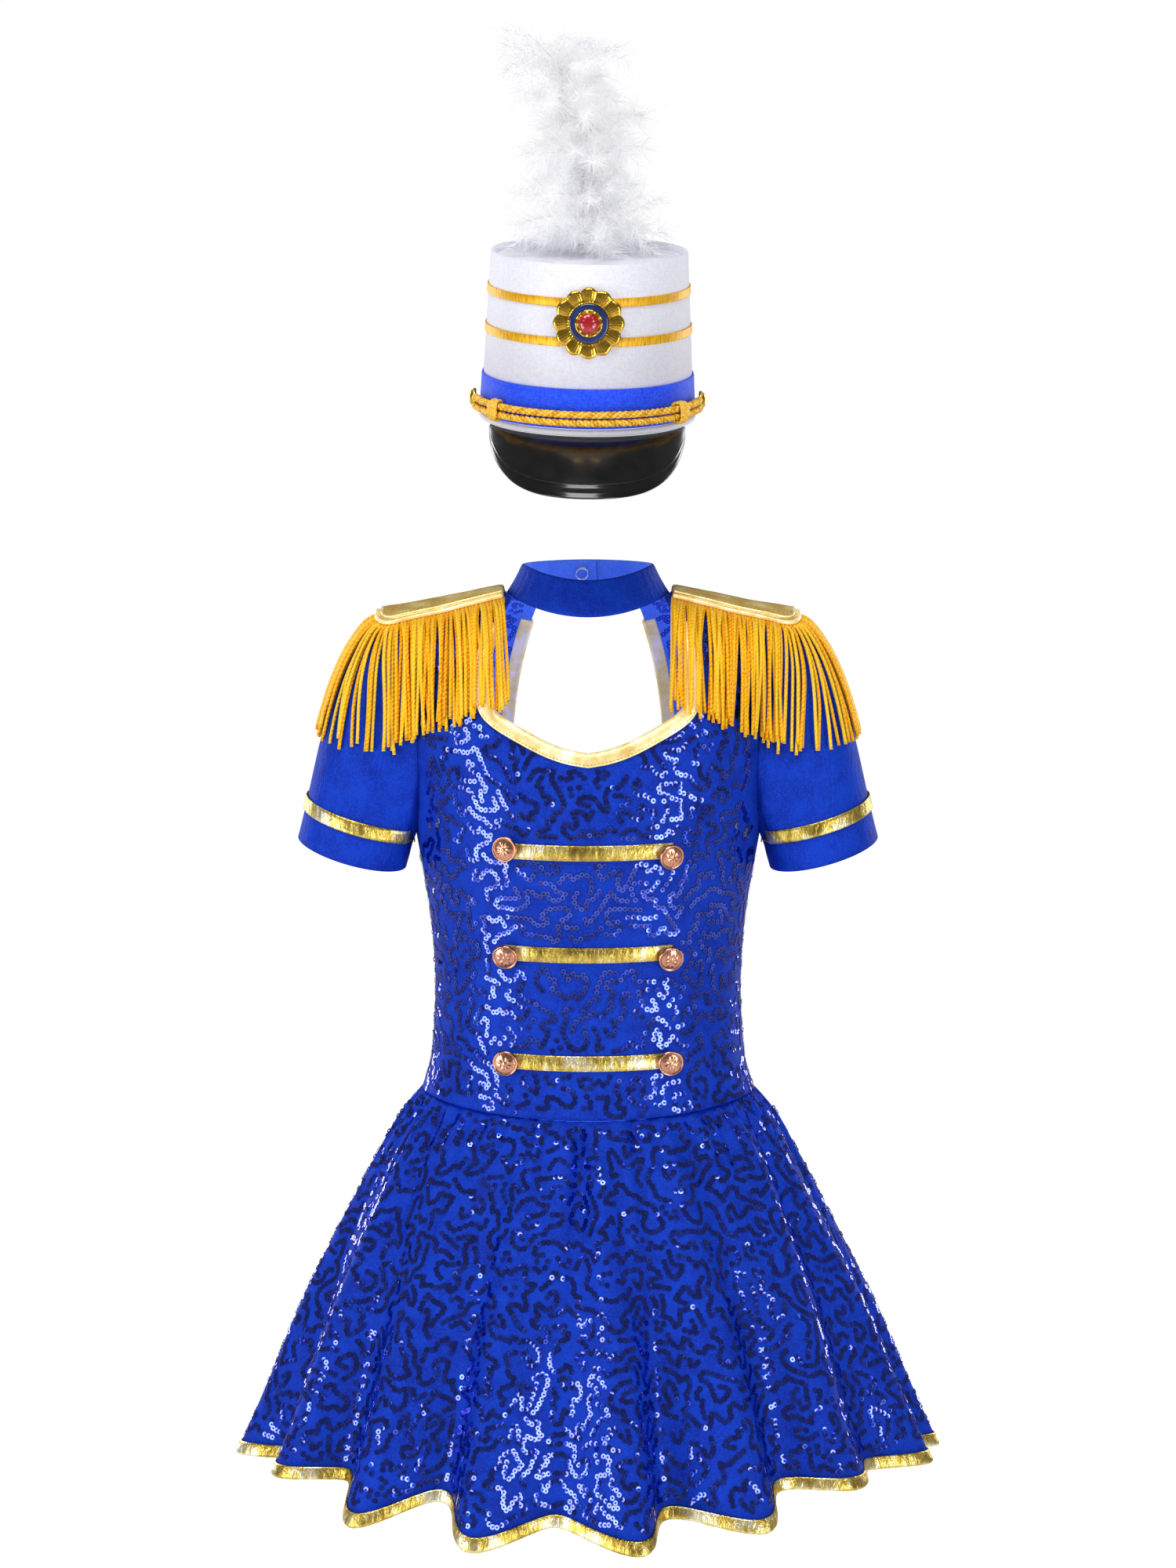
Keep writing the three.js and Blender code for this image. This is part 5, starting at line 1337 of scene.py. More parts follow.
def make_peak():
    """Moulded glossy plastic with a raised line along its edge."""
    u = np.sin(np.linspace(-np.pi / 2, np.pi / 2, 91)) * 0.6 + np.linspace(-1, 1, 91) * 0.4
    w = np.concatenate([np.linspace(1, 0.8, 36), np.linspace(0.78, 0, 14)])
    upper = peak_point(u[None, :], w[:, None])
    lower = upper - np.array([0, 0.25, 0.97]) * PEAK["thickness"] * np.clip((1.03 - w) / 0.06, 0.35, 1)[:, None, None]
    rows, columns = len(w), len(u)
    count = rows * columns
    faces = grid_faces(rows, columns)
    shell = [tuple(f) for f in faces] + [tuple(f[::-1] + count) for f in faces]
    rim = [*range(columns), *[j * columns + columns - 1 for j in range(1, rows)]]
    rim += [*[(rows - 1) * columns + i for i in range(columns - 2, -1, -1)], *[j * columns for j in range(rows - 2, 0, -1)]]
    shell += [(b, a, a + count, b + count) for a, b in zip(rim, rim[1:] + rim[:1])]
    points = np.concatenate([upper.reshape(-1, 3), lower.reshape(-1, 3)])
    peak = make_piece("cap_peak_plastic", on_cap(points), shell, PEAK_PLASTIC, "peak_plastic", ["cap_peak"])
    turn_outwards(peak)
    return peak


BRAID = {"radius": 2.6, "heights": (15.2, 9.4), "end": math.radians(80), "slide_at": math.radians(53), "off": 5.7}


def make_braid(word, height, twist):
    """Three strands laid round each other; the two cords turn opposite ways."""
    turns = np.linspace(-BRAID["end"], BRAID["end"], 330)
    path = cap_point(turns, height, BRAID["off"])
    _, side, up = frames_along(path)
    run = np.concatenate([[0], np.cumsum(np.linalg.norm(np.diff(path, axis=0), axis=1))])
    strands = []
    for k in range(3):
        angle = (twist * 2 * np.pi * run / 13 + 2 * np.pi * k / 3)[:, None]
        line = path + 1.28 * (np.cos(angle) * side + np.sin(angle) * up)
        strands.append(band(on_cap(tube(line, 1.36, 7))))
    around = np.linspace(0, 1, 7, endpoint=False)
    places = np.stack(np.meshgrid(around, run, indexing="ij"), -1).reshape(-1, 2)
    braid = make_piece(
        f"cap_braid_{word}", *joined(strands), BRAID_CORD, "cap_braid", [f"braid_cord_{word}"], uv=np.tile(places, (3, 1))
    )
    turn_outwards(braid)
    return braid


def make_slide(word, side):
    """The braid's own end wound round both cords as a knot."""
    t = np.linspace(0, 1, 150)
    angle = 2 * np.pi * 4.25 * t + 0.6
    along = -4.2 + 8.4 * t + 1.1 * np.sin(angle * 1.0)
    turn = side * BRAID["slide_at"] + along / 84
    squared = lambda value: np.sign(value) * np.abs(value) ** 0.65
    line = cap_point(turn, 12.3 + 6.6 * squared(np.cos(angle)), BRAID["off"] + 4.1 * squared(np.sin(angle)))
    line = on_cap(line)
    around, run = np.linspace(0, 1, 8, endpoint=False), np.linspace(0, 150, len(line))
    places = np.stack(np.meshgrid(around, run, indexing="ij"), -1).reshape(-1, 2)
    return closed_piece(
        f"cap_braid_knot_{word}", tube(line, 1.15, 8), BRAID_CORD, "cap_braid", [f"braid_slide_{word}"], uv=places
    )


def make_cap_button(word, side):
    """A plain polished brass dome on the braid's end."""
    def dome(share, angle):
        return 3.6 * np.sqrt(np.maximum(1 - (share / 0.9) ** 2, 0)) + 0.5 * np.exp(-(((share - 0.95) / 0.05) ** 2))

    centre = cap_point(np.array(side * np.pi / 2), 12.3, 1.2 + 0.3 + 2.6)
    points, faces = embossed_disc(6.5, dome, 1.6, 22, 56, shank=2.6)
    points = placed(points, centre, (side, 0, 0))
    button = make_piece(f"cap_button_{word}_dome", on_cap(points), faces, CAP_BRASS, "cap_brass", [f"cap_button_{word}"])
    turn_outwards(button)
    return button


def on_crown_front(points, off):
    out = unit(np.array([0, -1, 7 / CAP["height"]]))
    return on_cap(placed(points, cap_point(0.0, 78.0) + out * off, out))


def make_badge():
    """A plain rosette of gold flutes, an enamel disc in a beaded ring, and a domed stone in a petalled seat."""
    def flutes(share, angle):
        lobe = np.abs(np.cos(6 * angle))
        ridge = 0.9 * lobe * smoothstep((share - 0.5) / 0.3) * smoothstep((1.02 - share) / 0.08)
        rays = 0.22 * (0.5 + 0.5 * np.cos(72 * angle)) * smoothstep((share - 0.56) / 0.1)
        return 0.4 + ridge + rays * lobe + 0.6 * np.exp(-(((share - 0.6) / 0.02) ** 2)) * (0.6 + 0.4 * np.cos(48 * angle))

    points, faces = embossed_disc(24.5, flutes, 1.3, 36, 216)
    angle = np.arctan2(points[:, 1], points[:, 0])
    radius = np.hypot(points[:, 0], points[:, 1]) / 24.5
    scallop = 1 - 0.1 * (1 - np.abs(np.cos(6 * angle))) * smoothstep((radius - 0.6) / 0.4)
    points[:, :2] *= scallop[:, None]
    rosette = make_piece("badge_rosette_flutes", on_crown_front(points, 1.4), faces, CAP_BRASS, "cap_brass", ["badge_rosette"])

    def enamel(share, angle):
        return 0.45 * np.sqrt(np.maximum(1 - share**2, 0))

    points, faces = embossed_disc(13.4, enamel, 0.9, 16, 72)
    disc = make_piece("badge_enamel_disc", on_crown_front(points, 3.5), faces, ENAMEL, "enamel", ["badge_enamel"])

    def dome(share, angle):
        facet = 0.12 * np.cos(8 * angle) * smoothstep((share - 0.25) / 0.3)
        return 3.6 * np.sqrt(np.maximum(1 - share**2, 0)) + facet * (share < 0.97)

    points, faces = embossed_disc(7.2, dome, 0.8, 22, 64)
    stone = make_piece("badge_domed_stone", on_crown_front(points, 4.9), faces, STONE, "stone", ["badge_stone"])

    def seat(share, angle):
        return 0.25 + 0.55 * (0.5 + 0.5 * np.cos(10 * angle)) * smoothstep((share - 0.72) / 0.12)

    points, faces = embossed_disc(9.4, seat, 0.35, 20, 120)
    setting = make_piece("badge_stone_seat", on_crown_front(points, 4.5), faces, CAP_BRASS, "cap_brass")
    for part in (rosette, disc, stone, setting):
        turn_outwards(part)


# Surfaces: pattern scales are turns in a metre, as Object places are in metres

def tint(tree, shader, factor, *stops):
    """Colours a surface from a pattern: stops are its levels and their colours."""
    ramp = add(tree, "ShaderNodeValToRGB", {"Fac": factor})
    while len(ramp.color_ramp.elements) < len(stops):
        ramp.color_ramp.elements.new(0.5)
    for element, (level, code) in zip(ramp.color_ramp.elements, stops):
        element.position, element.color = level, linear(code)
    tree.links.new(ramp.outputs["Color"], shader.inputs["Base Color"])
    return ramp


def relief(tree, shader, *patterns):
    """Raises a surface by its patterns; each comes with its depth in millimetres."""
    last = None
    for height, depth in patterns:
        links = {"Height": height, "Distance": depth * MM}
        if last:
            links["Normal"] = last
        last = add(tree, "ShaderNodeBump", links).outputs["Normal"]
    tree.links.new(last, shader.inputs["Normal"])


def spread(tree, shader, socket, pattern, low, high):
    """Lets a pattern move one of the surface's sockets between two values."""
    between = add(tree, "ShaderNodeMapRange", {"Value": pattern, "To Min": low, "To Max": high})
    tree.links.new(between.outputs["Result"], shader.inputs[socket])


def stretch_knit(name, hollow, face, rib=None, **surface):
    """Brushed polyester jersey: small loops that shade each other, so the blue is never quite even."""
    material, tree, shader = new_material(name, Specular_IOR_Level=0.13, **surface)
    places = add(tree, "ShaderNodeTexCoord").outputs["Object"]
    # The real loops are 0.5 mm; 1.3 mm ones still read at arm's length.
    loops = add(tree, "ShaderNodeTexVoronoi", {"Vector": places, "Scale": 760.0}).outputs["Distance"]
    patches = add(tree, "ShaderNodeTexNoise", {"Vector": places, "Scale": 55.0, "Detail": 5.0, "Roughness": 0.65})
    mixed = add(tree, "ShaderNodeMath", {0: loops, 1: 0.45, 2: patches.outputs["Fac"]}, operation="MULTIPLY_ADD")
    tint(tree, shader, mixed.outputs[0], (0.42, hollow), (0.86, face))
    spread(tree, shader, "Roughness", patches.outputs["Fac"], 0.55, 0.78)
    patterns = [(loops, 0.16), (patches.outputs["Fac"], 0.5)]
    if rib:
        wales = add(tree, "ShaderNodeMapping", {"Vector": places, "Scale": rib}).outputs["Vector"]
        ribs = add(tree, "ShaderNodeTexNoise", {"Vector": wales, "Scale": 1.0, "Detail": 1.0}).outputs["Fac"]
        patterns.append((ribs, 0.7))
    relief(tree, shader, *patterns)
    return material


def sequin_film():
    """Metallised polyester, dyed navy: dark until it mirrors a lamp, then nearly white, and lilac edge-on."""
    material, tree, shader = new_material(
        "navy_metallised_sequin_film", Metallic=1.0, Coat_Weight=1.0, Coat_Roughness=0.08, Coat_IOR=1.8,
        Specular_Tint=linear("#A79BE8"),
    )
    each = add(tree, "ShaderNodeNewGeometry").outputs["Random Per Island"]
    tint(tree, shader, each, (0.0, "#0C26A4"), (0.55, "#1636C6"), (1.0, "#2C54E4"))
    spread(tree, shader, "Roughness", each, 0.1, 0.24)
    places = add(tree, "ShaderNodeTexCoord").outputs["Object"]
    dents = add(tree, "ShaderNodeTexNoise", {"Vector": places, "Scale": 420.0, "Detail": 2.0}).outputs["Fac"]
    relief(tree, shader, (dents, 0.12))
    return material


def foil_ribbon(name, stretch, dark, middle, light, depth, metallic=0.9, roughness=(0.2, 0.42), **surface):
    """Foil laminated to tape: it creases crosswise where it was pulled through the machine's foot. Its colour is
    painted dark in the creases' hollows and near white on their crests, as painted shade and painted highlight over a
    cloudy tone.
    """
    material, tree, shader = new_material(name, Metallic=metallic, **surface)
    places = add(tree, "ShaderNodeTexCoord").outputs["Object"]
    pulled = add(tree, "ShaderNodeMapping", {"Vector": places, "Scale": stretch}).outputs["Vector"]
    creases = add(
        tree, "ShaderNodeTexNoise", {"Vector": pulled, "Scale": 1.0, "Detail": 4.0, "Roughness": 0.6, "Distortion": 0.5}
    ).outputs["Fac"]
    cloudy = add(tree, "ShaderNodeTexNoise", {"Vector": places, "Scale": 48.0, "Detail": 3.0}).outputs["Fac"]
    mixed = add(tree, "ShaderNodeMath", {0: creases, 1: 0.7, 2: cloudy}, operation="MULTIPLY_ADD")
    # Painted shade in the crease hollows and a painted highlight on the crests, mixed with a cloudy tone.
    tint(tree, shader, mixed.outputs[0], (0.6, dark), (0.85, middle), (1.0, light))
    spread(tree, shader, "Roughness", cloudy, *roughness)
    weave = add(tree, "ShaderNodeTexVoronoi", {"Vector": places, "Scale": 900.0}).outputs["Distance"]
    relief(tree, shader, (creases, depth), (weave, 0.1))
    return material


def board_lame():
    """Foil cloth stretched over the pad: a satin glow that is broken by its crosswise threads. Its colour is painted
    darker in the hollows of its soft relief and lighter on the crests, as painted shade and painted highlight.
    """
    material, tree, shader = new_material("champagne_foil_cloth", Metallic=0.35, Anisotropic=0.4)
    places = add(tree, "ShaderNodeTexCoord").outputs["Object"]
    threads = add(tree, "ShaderNodeMapping", {"Vector": places, "Scale": (900.0, 240.0, 900.0)}).outputs["Vector"]
    fine = add(tree, "ShaderNodeTexNoise", {"Vector": threads, "Scale": 1.0, "Detail": 2.0}).outputs["Fac"]
    soft = add(tree, "ShaderNodeTexNoise", {"Vector": places, "Scale": 70.0, "Detail": 5.0}).outputs["Fac"]
    mixed = add(tree, "ShaderNodeMath", {0: fine, 1: 0.6, 2: soft}, operation="MULTIPLY_ADD")
    # Painted shade in the relief's hollows and a painted highlight on its crests.
    tint(tree, shader, mixed.outputs[0], (0.5, "#BE9438"), (0.8, "#E4C264"), (1.0, "#F7E2A4"))
    spread(tree, shader, "Roughness", soft, 0.3, 0.48)
    relief(tree, shader, (soft, 1.1), (fine, 0.16))
    return material


def twisted_thread(name, pitch, deep, groove_painted_shade, face, shoulder_painted_highlight):
    """Rayon floss laid in a twist: a painted highlight on each turn's shoulder, and painted shade, burnt orange, down
    between the turns.
    """
    material, tree, shader = new_material(name, Specular_IOR_Level=0.25)
    along = add(tree, "ShaderNodeSeparateXYZ", {"Vector": add(tree, "ShaderNodeUVMap", uv_map="along").outputs["UV"]})
    turn = add(tree, "ShaderNodeMath", {0: along.outputs["Y"], 1: 1 / pitch, 2: along.outputs["X"]}, operation="MULTIPLY_ADD")
    angle = add(tree, "ShaderNodeMath", {0: turn.outputs[0], 1: 2 * math.pi}, operation="MULTIPLY")
    twist = add(tree, "ShaderNodeMath", {0: angle.outputs[0]}, operation="SINE").outputs[0]
    each = add(tree, "ShaderNodeNewGeometry").outputs["Random Per Island"]
    places = add(tree, "ShaderNodeTexCoord").outputs["Object"]
    fuzz = add(tree, "ShaderNodeTexNoise", {"Vector": places, "Scale": 900.0, "Detail": 2.0}).outputs["Fac"]
    # The twist paints shade between the turns and a highlight on their shoulders; each cord's own tone and a fine fuzz
    # vary it.
    shade = add(tree, "ShaderNodeMath", {0: twist, 1: 0.24, 2: each}, operation="MULTIPLY_ADD")
    shade = add(tree, "ShaderNodeMath", {0: shade.outputs[0], 1: 0.45, 2: fuzz}, operation="MULTIPLY_ADD")
    tint(tree, shader, shade.outputs[0], (0.3, deep), (0.46, groove_painted_shade), (0.64, face), (1.0, shoulder_painted_highlight))
    spread(tree, shader, "Roughness", fuzz, 0.32, 0.55)
    relief(tree, shader, (twist, 0.22), (fuzz, 0.12))
    return material


def satin_ribbon():
    """Woven satin: crosswise weft ribs under a long soft gleam."""
    material, tree, shader = new_material("golden_satin_ribbon", Metallic=0.35, Anisotropic=0.5)
    places = add(tree, "ShaderNodeTexCoord").outputs["Object"]
    ribs = add(tree, "ShaderNodeMapping", {"Vector": places, "Scale": (1100.0, 1100.0, 120.0)}).outputs["Vector"]
    weft = add(tree, "ShaderNodeTexNoise", {"Vector": ribs, "Scale": 1.0, "Detail": 1.0}).outputs["Fac"]
    tint(tree, shader, weft, (0.3, "#D08E04"), (0.5, "#F2B50C"), (0.75, "#FFD03A"))
    spread(tree, shader, "Roughness", weft, 0.34, 0.5)
    relief(tree, shader, (weft, 0.12))
    return material


def twill(name, hollow, face, roughness=0.7):
    """Cotton-polyester over buckram: close threads that go two ways, almost flat."""
    material, tree, shader = new_material(name, Roughness=roughness, Specular_IOR_Level=0.3, Sheen_Weight=0.1)
    places = add(tree, "ShaderNodeTexCoord").outputs["Object"]
    heights = []
    for stretch in ((1250.0, 1250.0, 260.0), (260.0, 260.0, 1250.0)):
        way = add(tree, "ShaderNodeMapping", {"Vector": places, "Scale": stretch}).outputs["Vector"]
        heights.append(add(tree, "ShaderNodeTexNoise", {"Vector": way, "Scale": 1.0, "Detail": 1.0}).outputs["Fac"])
    both = add(tree, "ShaderNodeMath", {0: heights[0], 1: heights[1]}, operation="MULTIPLY").outputs[0]
    tint(tree, shader, both, (0.12, hollow), (0.36, face))
    slack = add(tree, "ShaderNodeTexNoise", {"Vector": places, "Scale": 40.0, "Detail": 2.0}).outputs["Fac"]
    spread(tree, shader, "Roughness", slack, roughness - 0.08, roughness + 0.08)
    relief(tree, shader, (both, 0.22), (slack, 0.35))
    return material


def metal(name, dark, face, roughness, hammer=0.06):
    """Stamped and plated metal: polished by handling on its high places, duller in its hollows."""
    material, tree, shader = new_material(name, Metallic=1.0)
    places = add(tree, "ShaderNodeTexCoord").outputs["Object"]
    worn = add(tree, "ShaderNodeNewGeometry").outputs["Pointiness"]
    marks = add(tree, "ShaderNodeTexNoise", {"Vector": places, "Scale": 300.0, "Detail": 5.0}).outputs["Fac"]
    mixed = add(tree, "ShaderNodeMath", {0: marks, 1: 0.1, 2: worn}, operation="MULTIPLY_ADD").outputs[0]
    tint(tree, shader, mixed, (0.47, dark), (0.56, face))
    spread(tree, shader, "Roughness", marks, roughness * 0.7, roughness * 1.5)
    relief(tree, shader, (marks, hammer))
    return material


def glossy_cast(name, deep, face, depth, varnish=1.0, **surface):
    """Poured or moulded, and left smooth: the gloss only wavers a little."""
    material, tree, shader = new_material(name, Coat_Weight=varnish, Coat_Roughness=0.12, **surface)
    places = add(tree, "ShaderNodeTexCoord").outputs["Object"]
    flow = add(tree, "ShaderNodeTexNoise", {"Vector": places, "Scale": 85.0, "Detail": 3.0}).outputs["Fac"]
    tint(tree, shader, flow, (0.3, deep), (0.7, face))
    spread(tree, shader, "Roughness", flow, 0.14, 0.3)
    relief(tree, shader, (flow, depth))
    return material


def marabou_down():
    """Barbs so thin that light comes through them, with a weak painted glow that keeps them bright all round; grey only
    deep inside.
    """
    # Painted glow: a weak white emission on the down.
    material, tree, shader = new_material(
        "white_marabou_down_painted_glow", Specular_IOR_Level=0.2, Emission_Color=linear("#F4F4FF"), Emission_Strength=0.06
    )
    each = add(tree, "ShaderNodeNewGeometry").outputs["Random Per Island"]
    tint(tree, shader, each, (0.0, "#E9E8F0"), (0.5, "#FBFBFD"), (1.0, "#FFFFFF"))
    spread(tree, shader, "Roughness", each, 0.6, 0.9)
    through = add(tree, "ShaderNodeBsdfTranslucent", {"Color": linear("#FFFFFF")})
    mixed = add(tree, "ShaderNodeMixShader", {0: 0.5, 1: shader.outputs["BSDF"], 2: through.outputs["BSDF"]})
    tree.links.new(mixed.outputs["Shader"], tree.nodes["Material Output"].inputs["Surface"])
    return material


def sewing_thread():
    """Spun polyester in short stitches: a dull gold, and each stitch catches the light a little differently."""
    material, tree, shader = new_material("gold_sewing_thread", Specular_IOR_Level=0.3)
    each = add(tree, "ShaderNodeNewGeometry").outputs["Random Per Island"]
    tint(tree, shader, each, (0.0, "#B4842A"), (1.0, "#D6A846"))
    spread(tree, shader, "Roughness", each, 0.42, 0.6)
    places = add(tree, "ShaderNodeTexCoord").outputs["Object"]
    fuzz = add(tree, "ShaderNodeTexNoise", {"Vector": places, "Scale": 2200.0, "Detail": 1.0}).outputs["Fac"]
    relief(tree, shader, (fuzz, 0.05))
    return material


def feather_horn():
    """A feather's shaft: pale horn, half gloss, with cloudy streaks."""
    material, tree, shader = new_material("feather_shaft_horn", Specular_IOR_Level=0.3, Sheen_Weight=0.1)
    places = add(tree, "ShaderNodeTexCoord").outputs["Object"]
    streaks = add(tree, "ShaderNodeTexNoise", {"Vector": places, "Scale": 600.0, "Detail": 2.0}).outputs["Fac"]
    tint(tree, shader, streaks, (0.3, "#DCDAD6"), (0.6, "#F4F3F0"))
    spread(tree, shader, "Roughness", streaks, 0.32, 0.48)
    relief(tree, shader, (streaks, 0.05))
    return material


SEQUIN_KNIT = stretch_knit("royal_jersey_under_sequins", "#041F8A", "#0A3ABC")
# The thin jersey lets some light through; its inside is painted lighter and given a painted glow to stand in for it, so
# it is never in full shade.
WRONG_SIDE_PAINTED_BACKLIT = stretch_knit(
    "royal_jersey_wrong_side_painted_backlit", "#2E5BE0", "#5580F2", Emission_Color=linear("#5B8BFF"), Emission_Strength=0.22
)
PLAIN_KNIT = stretch_knit("royal_plain_jersey", "#052192", "#0A3DC2", rib=(520.0, 520.0, 90.0))
# Painted shadows: darker rings on the jersey's inside where the sequins would block the light coming through it, with a
# weak painted glow.
PAINTED_SEQUIN_SHADOWS = stretch_knit(
    "painted_sequin_shadows_in_jersey", "#1736A8", "#2648C0", Emission_Color=linear("#2F55D8"), Emission_Strength=0.1
)
SEQUIN_FILM = sequin_film()
# The gold foil's darkest stop is painted shade and its near-white stop is a painted highlight.
GOLD_FOIL = foil_ribbon("gold_foil_tape", (270.0, 270.0, 95.0), "#8A722E", "#E6C961", "#FFF7D4", 0.9)
# The pale foil gets a warm painted glow, so it looks lit even where it lies in shade; its dark and light stops are
# painted shade and painted highlight.
PALE_FOIL_PAINTED_GLOW = foil_ribbon(
    "pale_gold_foil_binding_painted_glow", (150.0, 150.0, 150.0), "#CDAA58", "#F2DB9C", "#FFF8E0", 0.4, 0.3,
    Emission_Color=linear("#F3DCA0"), Emission_Strength=0.32,
)
BOARD_LAME = board_lame()
# Each cord's stops run from painted shade to a painted highlight.
RAYON_CORD = twisted_thread("twisted_rayon_fringe", 3.1, "#D07400", "#FFA200", "#FFC000", "#FFD63C")
BRAID_CORD = twisted_thread("laid_rayon_braid", 2.4, "#B46A12", "#D8920F", "#F5B922", "#FFDC68")
SEWING_GOLD = sewing_thread()
ROSE_GOLD = metal("rose_gold_plate", "#7A4028", "#E0A284", 0.2)
CAP_BRASS = metal("polished_brass", "#8A5A12", "#F0BE48", 0.17)
NICKEL = metal("nickel_plated_steel", "#A8A8AE", "#F4F4F7", 0.2)
CAP_CLOTH = twill("white_cap_twill", "#DEDEEA", "#EAEAF4")
CAP_BAND_CLOTH = twill("royal_cap_band_twill", "#0D37D8", "#1F56FF")
CAP_RIBBON = satin_ribbon()
PEAK_PLASTIC = glossy_cast("black_moulded_plastic", "#060607", "#101114", 0.1, 0.3)
ENAMEL = glossy_cast("navy_fired_enamel", "#0A1C4C", "#16306E", 0.05)
STONE = glossy_cast("red_cast_resin", "#8E0512", "#D51223", 0.06, Subsurface_Weight=0.2)
MARABOU_PAINTED_GLOW = marabou_down()
QUILL = feather_horn()


# Making it

make_camera()
make_lights()
make_world()

front_cloth = bodice_panel("bodice_front_cloth", -1, FRONT_OPENING, "bodice_front", SEQUIN_KNIT)
back_cloth = bodice_panel("bodice_back_cloth", 1, BACK_OPENING, "bodice_back", SEQUIN_KNIT)
front_binding, front_rows = binding("front_opening_binding_tape", FRONT_OPENING, -1, 110, -15, "front_opening_binding")
back_binding, back_rows = binding("back_opening_binding_tape", BACK_OPENING, 1, 130, -16, "back_opening_binding")
sew("binding_top_stitches", [front_rows, back_rows], SEWING_GOLD, "pale_foil_binding")
collar = make_collar()
make_snap("collar_snap_ring_inner", math.radians(-174.5), -1, "collar_snap_inner")
make_snap("collar_snap_ring_outer", math.radians(185.5), 1, "collar_snap_outer")
boards, board_rows, sleeves, fringes = [], [], [], []
for word, side in (("left", -1), ("right", 1)):
    sleeve, sleeve_tape, creased = make_sleeve(word, side)
    sleeves.append((sleeve, sleeve_tape))
    boards.append(make_board(word, side))
    board_rows += make_piping(word, side)[1]
    tree = clothes_tree([sleeve, front_cloth, back_cloth, front_binding, back_binding])
    fringes.append(make_fringe(word, side, tree))
sew("epaulette_top_stitches", board_rows, SEWING_GOLD, "pale_foil_binding")

bar_rows = []
for word, z in zip(("top", "middle", "bottom"), BAR["zs"]):
    bar_rows += make_bar(word, z)[1]
sew("gold_bar_top_stitches", bar_rows, SEWING_GOLD, "foil_tape")
for row in BUTTONS:
    make_button(*row)

make_plume()
cap_ring(
    "cap_crown_cloth", [(4.4, 0), (117.4, 0), (118, -0.4), (118, -2.1), (117.4, -2.5), (4.4, -2.5)],
    CAP_CLOTH, "cap_cloth", "cap_crown",
)
make_cap_top()
edge_bead = [(1.75 + 2.3 * math.cos(a), -0.85 + 2.25 * math.sin(a)) for a in np.linspace(0, 2 * math.pi, 20, endpoint=False)]
cap_ring("cap_edge_roll", edge_bead, CAP_CLOTH, "cap_cloth", "cap_edge")
band_section = [(4.6, 0.3), (4.7, 1.0), (5.6, 1.25), (12, 1.2), (25, 1.2), (31, 1.25), (31.9, 1.0), (32, 0.3)]
cap_ring("cap_band_cloth_strip", band_section, CAP_BAND_CLOTH, "cap_band_cloth", "cap_band")
for word, low in (("lower", 61.3), ("upper", 88.8)):
    section = [(low, 0.3), (low, 0.8), (low + 0.5, 1.0), (low + 5.5, 1.0), (low + 6, 0.8), (low + 6, 0.3)]
    cap_ring(f"cap_ribbon_{word}_satin", section, CAP_RIBBON, "cap_ribbon", f"cap_ribbon_{word}")
make_peak()
for word, height, twist in (("upper", BRAID["heights"][0], 1), ("lower", BRAID["heights"][1], -1)):
    make_braid(word, height, twist)
for word, side in (("left", -1), ("right", 1)):
    make_slide(word, side)
    make_cap_button(word, side)
make_badge()

skirt_half("skirt_front_cloth", -1, "skirt_front", SEQUIN_KNIT)
skirt_half("skirt_back_cloth", 1, "skirt_back", SEQUIN_KNIT)
hem_rows = [make_hem_tape(word, facing)[1] for word, facing in (("front", -1), ("back", 1))]
sew("hem_top_stitches", hem_rows, SEWING_GOLD, "foil_tape")


def under_a_trim(p):
    """Whether a place on the bodice's front is under a bar or a button."""
    if p[1] > 0:
        return False
    for k, z in enumerate(BAR["zs"]):
        dip = BAR["sag"] * (1 - (p[0] / BAR["half_length"]) ** 2)
        if abs(p[0]) < BAR["half_length"] + 2 and abs(p[2] - z + dip) < 7.6:
            return True
    return any(
        math.hypot(p[0] - side * BUTTON_AT, p[2] - BAR["zs"][bar] - up) < 10 for _, side, bar, up, *_ in BUTTONS
    )


BUTTON_AT = 56.0

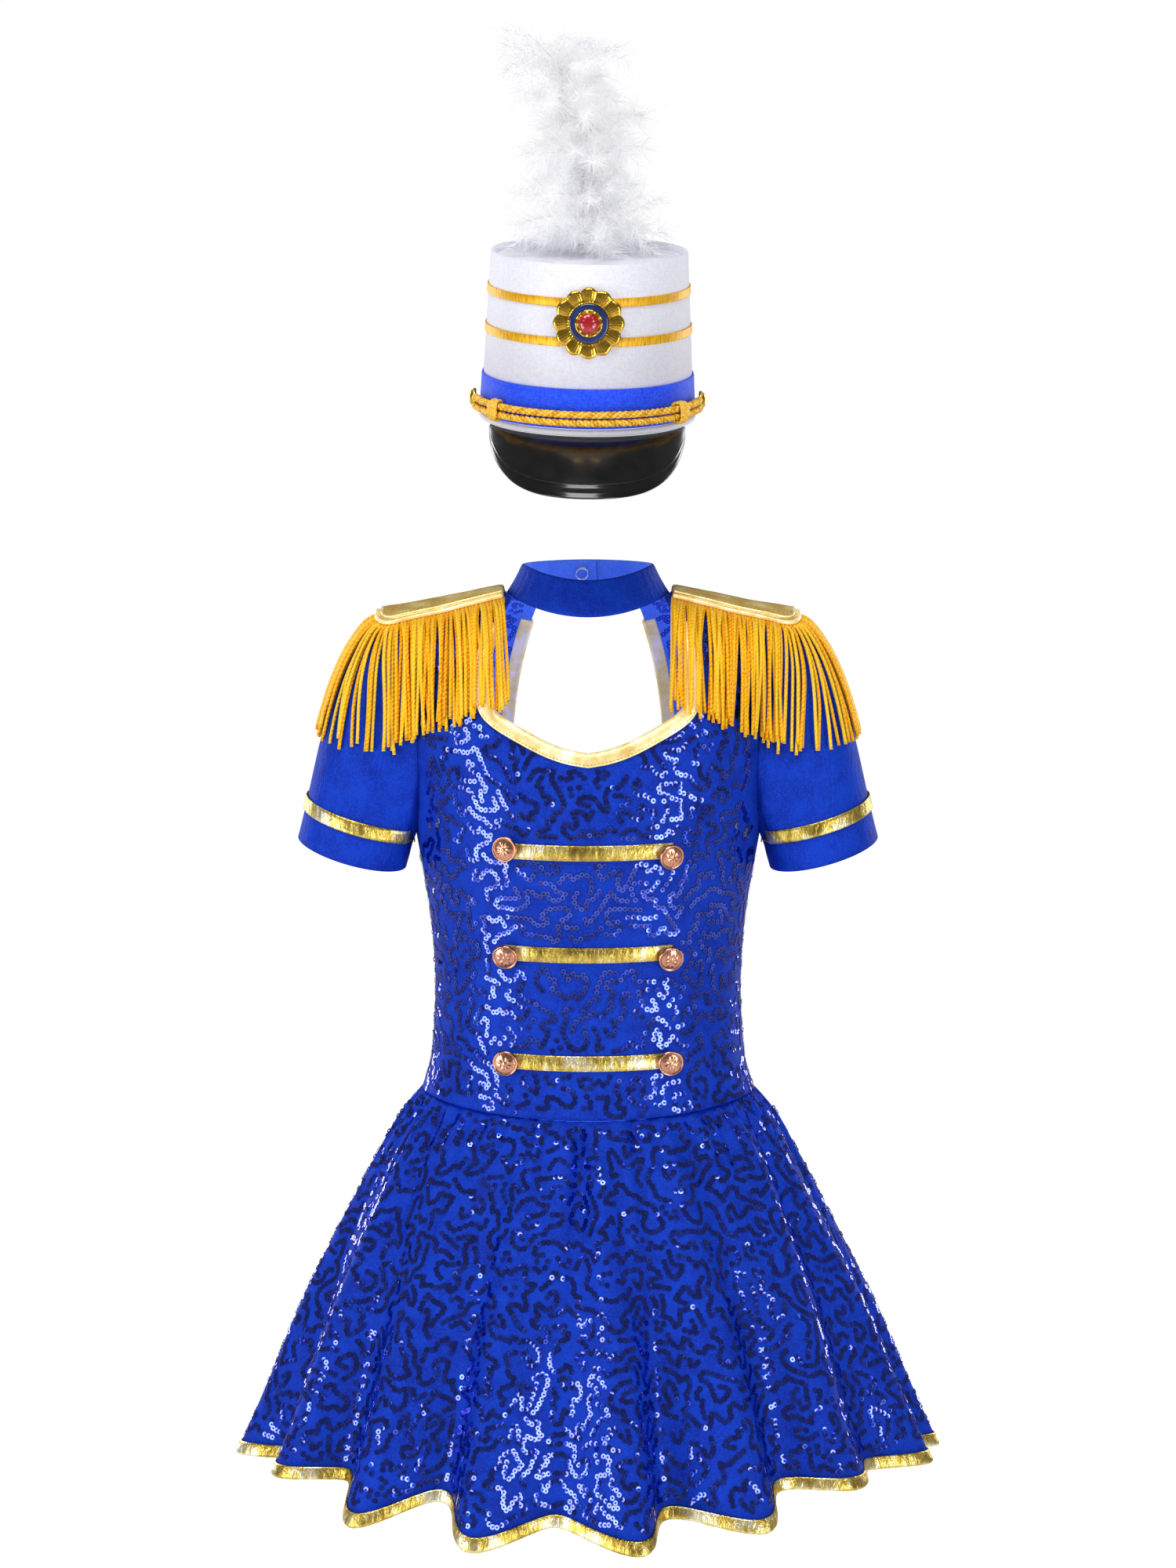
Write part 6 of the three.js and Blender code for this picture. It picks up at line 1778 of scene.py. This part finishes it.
for facing, word, opening in ((-1, "front", FRONT_OPENING), (1, "back", BACK_OPENING)):
    middle = 0 if facing < 0 else np.pi
    place, tall, lengths = flat_map(body_point, middle, np.pi / 2, 0.0, float(NECK), None)
    wide = lengths.max()

    def allowed(phi, v, opening=opening):
        if np.isnan(phi) or np.isnan(v):
            return False
        p = body_point(phi, v)
        if under_a_trim(p) or v < 0.08 or abs(p[1]) < 2:
            return False
        if p[2] > -178 and armhole_edge(p[2])["x"] - abs(p[0]) < 5:
            return False
        if p[2] < opening[0][1]:
            return math.hypot(max(abs(p[0]) - 25, 0), opening[0][1] - p[2]) > 9.5
        return abs(p[0]) - opening_half_width(opening, p[2]) > 9.5

    lines = sequin_lines(place, ((-wide, wide), (2, tall)), allowed, 11 + facing)
    sew_sequins(f"bodice_{word}_sequins", body_point, place, lines, allowed, 5 + facing, SEQUIN_FILM, "sequinned_cloth")
    if word == "back":
        # Painted sequin shadows on the inside of the back panel, only above 125 mm below the neck.
        sew_sequins(
            "painted_sequin_shadows_inside_the_back", body_point, place, lines,
            lambda phi, v: allowed(phi, v) and body_point(phi, v)[2] > -125, 77, PAINTED_SEQUIN_SHADOWS, "sequinned_cloth",
            off=-CLOTH - 0.3,
        )

    place, tall, lengths = flat_map(skirt_up, middle, np.pi / 2, -1.0, 0.0, None)
    low, high = lengths[0, -1], lengths[-1, -1]
    apex = tall * high / (low - high)
    fan = low / (apex + tall)

    def fan_place(x, y, facing=facing, middle=middle, tall=tall, apex=apex, lengths=lengths):
        far = math.hypot(x, y)
        down = far - apex
        if not 0 <= down <= tall:
            return np.nan, np.nan
        share = down / tall
        row = (1 - share) * 59
        k = min(int(row), 58)
        along = math.atan2(x, y) * far
        turns = np.linspace(middle - np.pi / 2, middle + np.pi / 2, 241)
        a = [np.interp(along, lengths[j], turns, left=np.nan, right=np.nan) for j in (k, k + 1)]
        return a[0] + (a[1] - a[0]) * (row - k), -share

    def on_skirt(phi, d):
        return not np.isnan(phi) and -0.985 < d < -0.012

    reach = (apex + tall) * 1.02
    lines = sequin_lines(fan_place, ((-reach, reach), (apex * math.cos(min(fan, 3)) - 5, reach)), on_skirt, 21 + facing)
    sew_sequins(f"skirt_{word}_sequins", skirt_up, fan_place, lines, on_skirt, 31 + facing, SEQUIN_FILM, "sequinned_cloth")

floor = bpy.data.meshes.new("studio_floor")
floor.from_pydata([(-30, -30, FLOOR_Z), (30, -30, FLOOR_Z), (30, 30, FLOOR_Z), (-30, 30, FLOOR_Z)], [], [(0, 1, 2, 3)])
floor_material, tree, shader = new_material("pale_studio_floor", Base_Color=linear("#F4F4F6"), Roughness=0.8)
shade = add(tree, "ShaderNodeTexNoise", {"Scale": 0.6, "Detail": 2.0}).outputs["Fac"]
tint(tree, shader, shade, (0.3, "#F4F4F6"), (0.7, "#FAFAFB"))
seen = add(tree, "ShaderNodeLightPath").outputs["Is Camera Ray"]  # burnt out to white behind the costume, as in a studio
lit = add(tree, "ShaderNodeMath", {0: seen, 1: 0.8}, operation="MULTIPLY").outputs[0]
shader.inputs["Emission Color"].default_value = linear("#FFFFFF")
tree.links.new(lit, shader.inputs["Emission Strength"])
floor.materials.append(floor_material)
floor_object = bpy.data.objects.new("studio_floor", floor)
bpy.context.scene.collection.objects.link(floor_object)
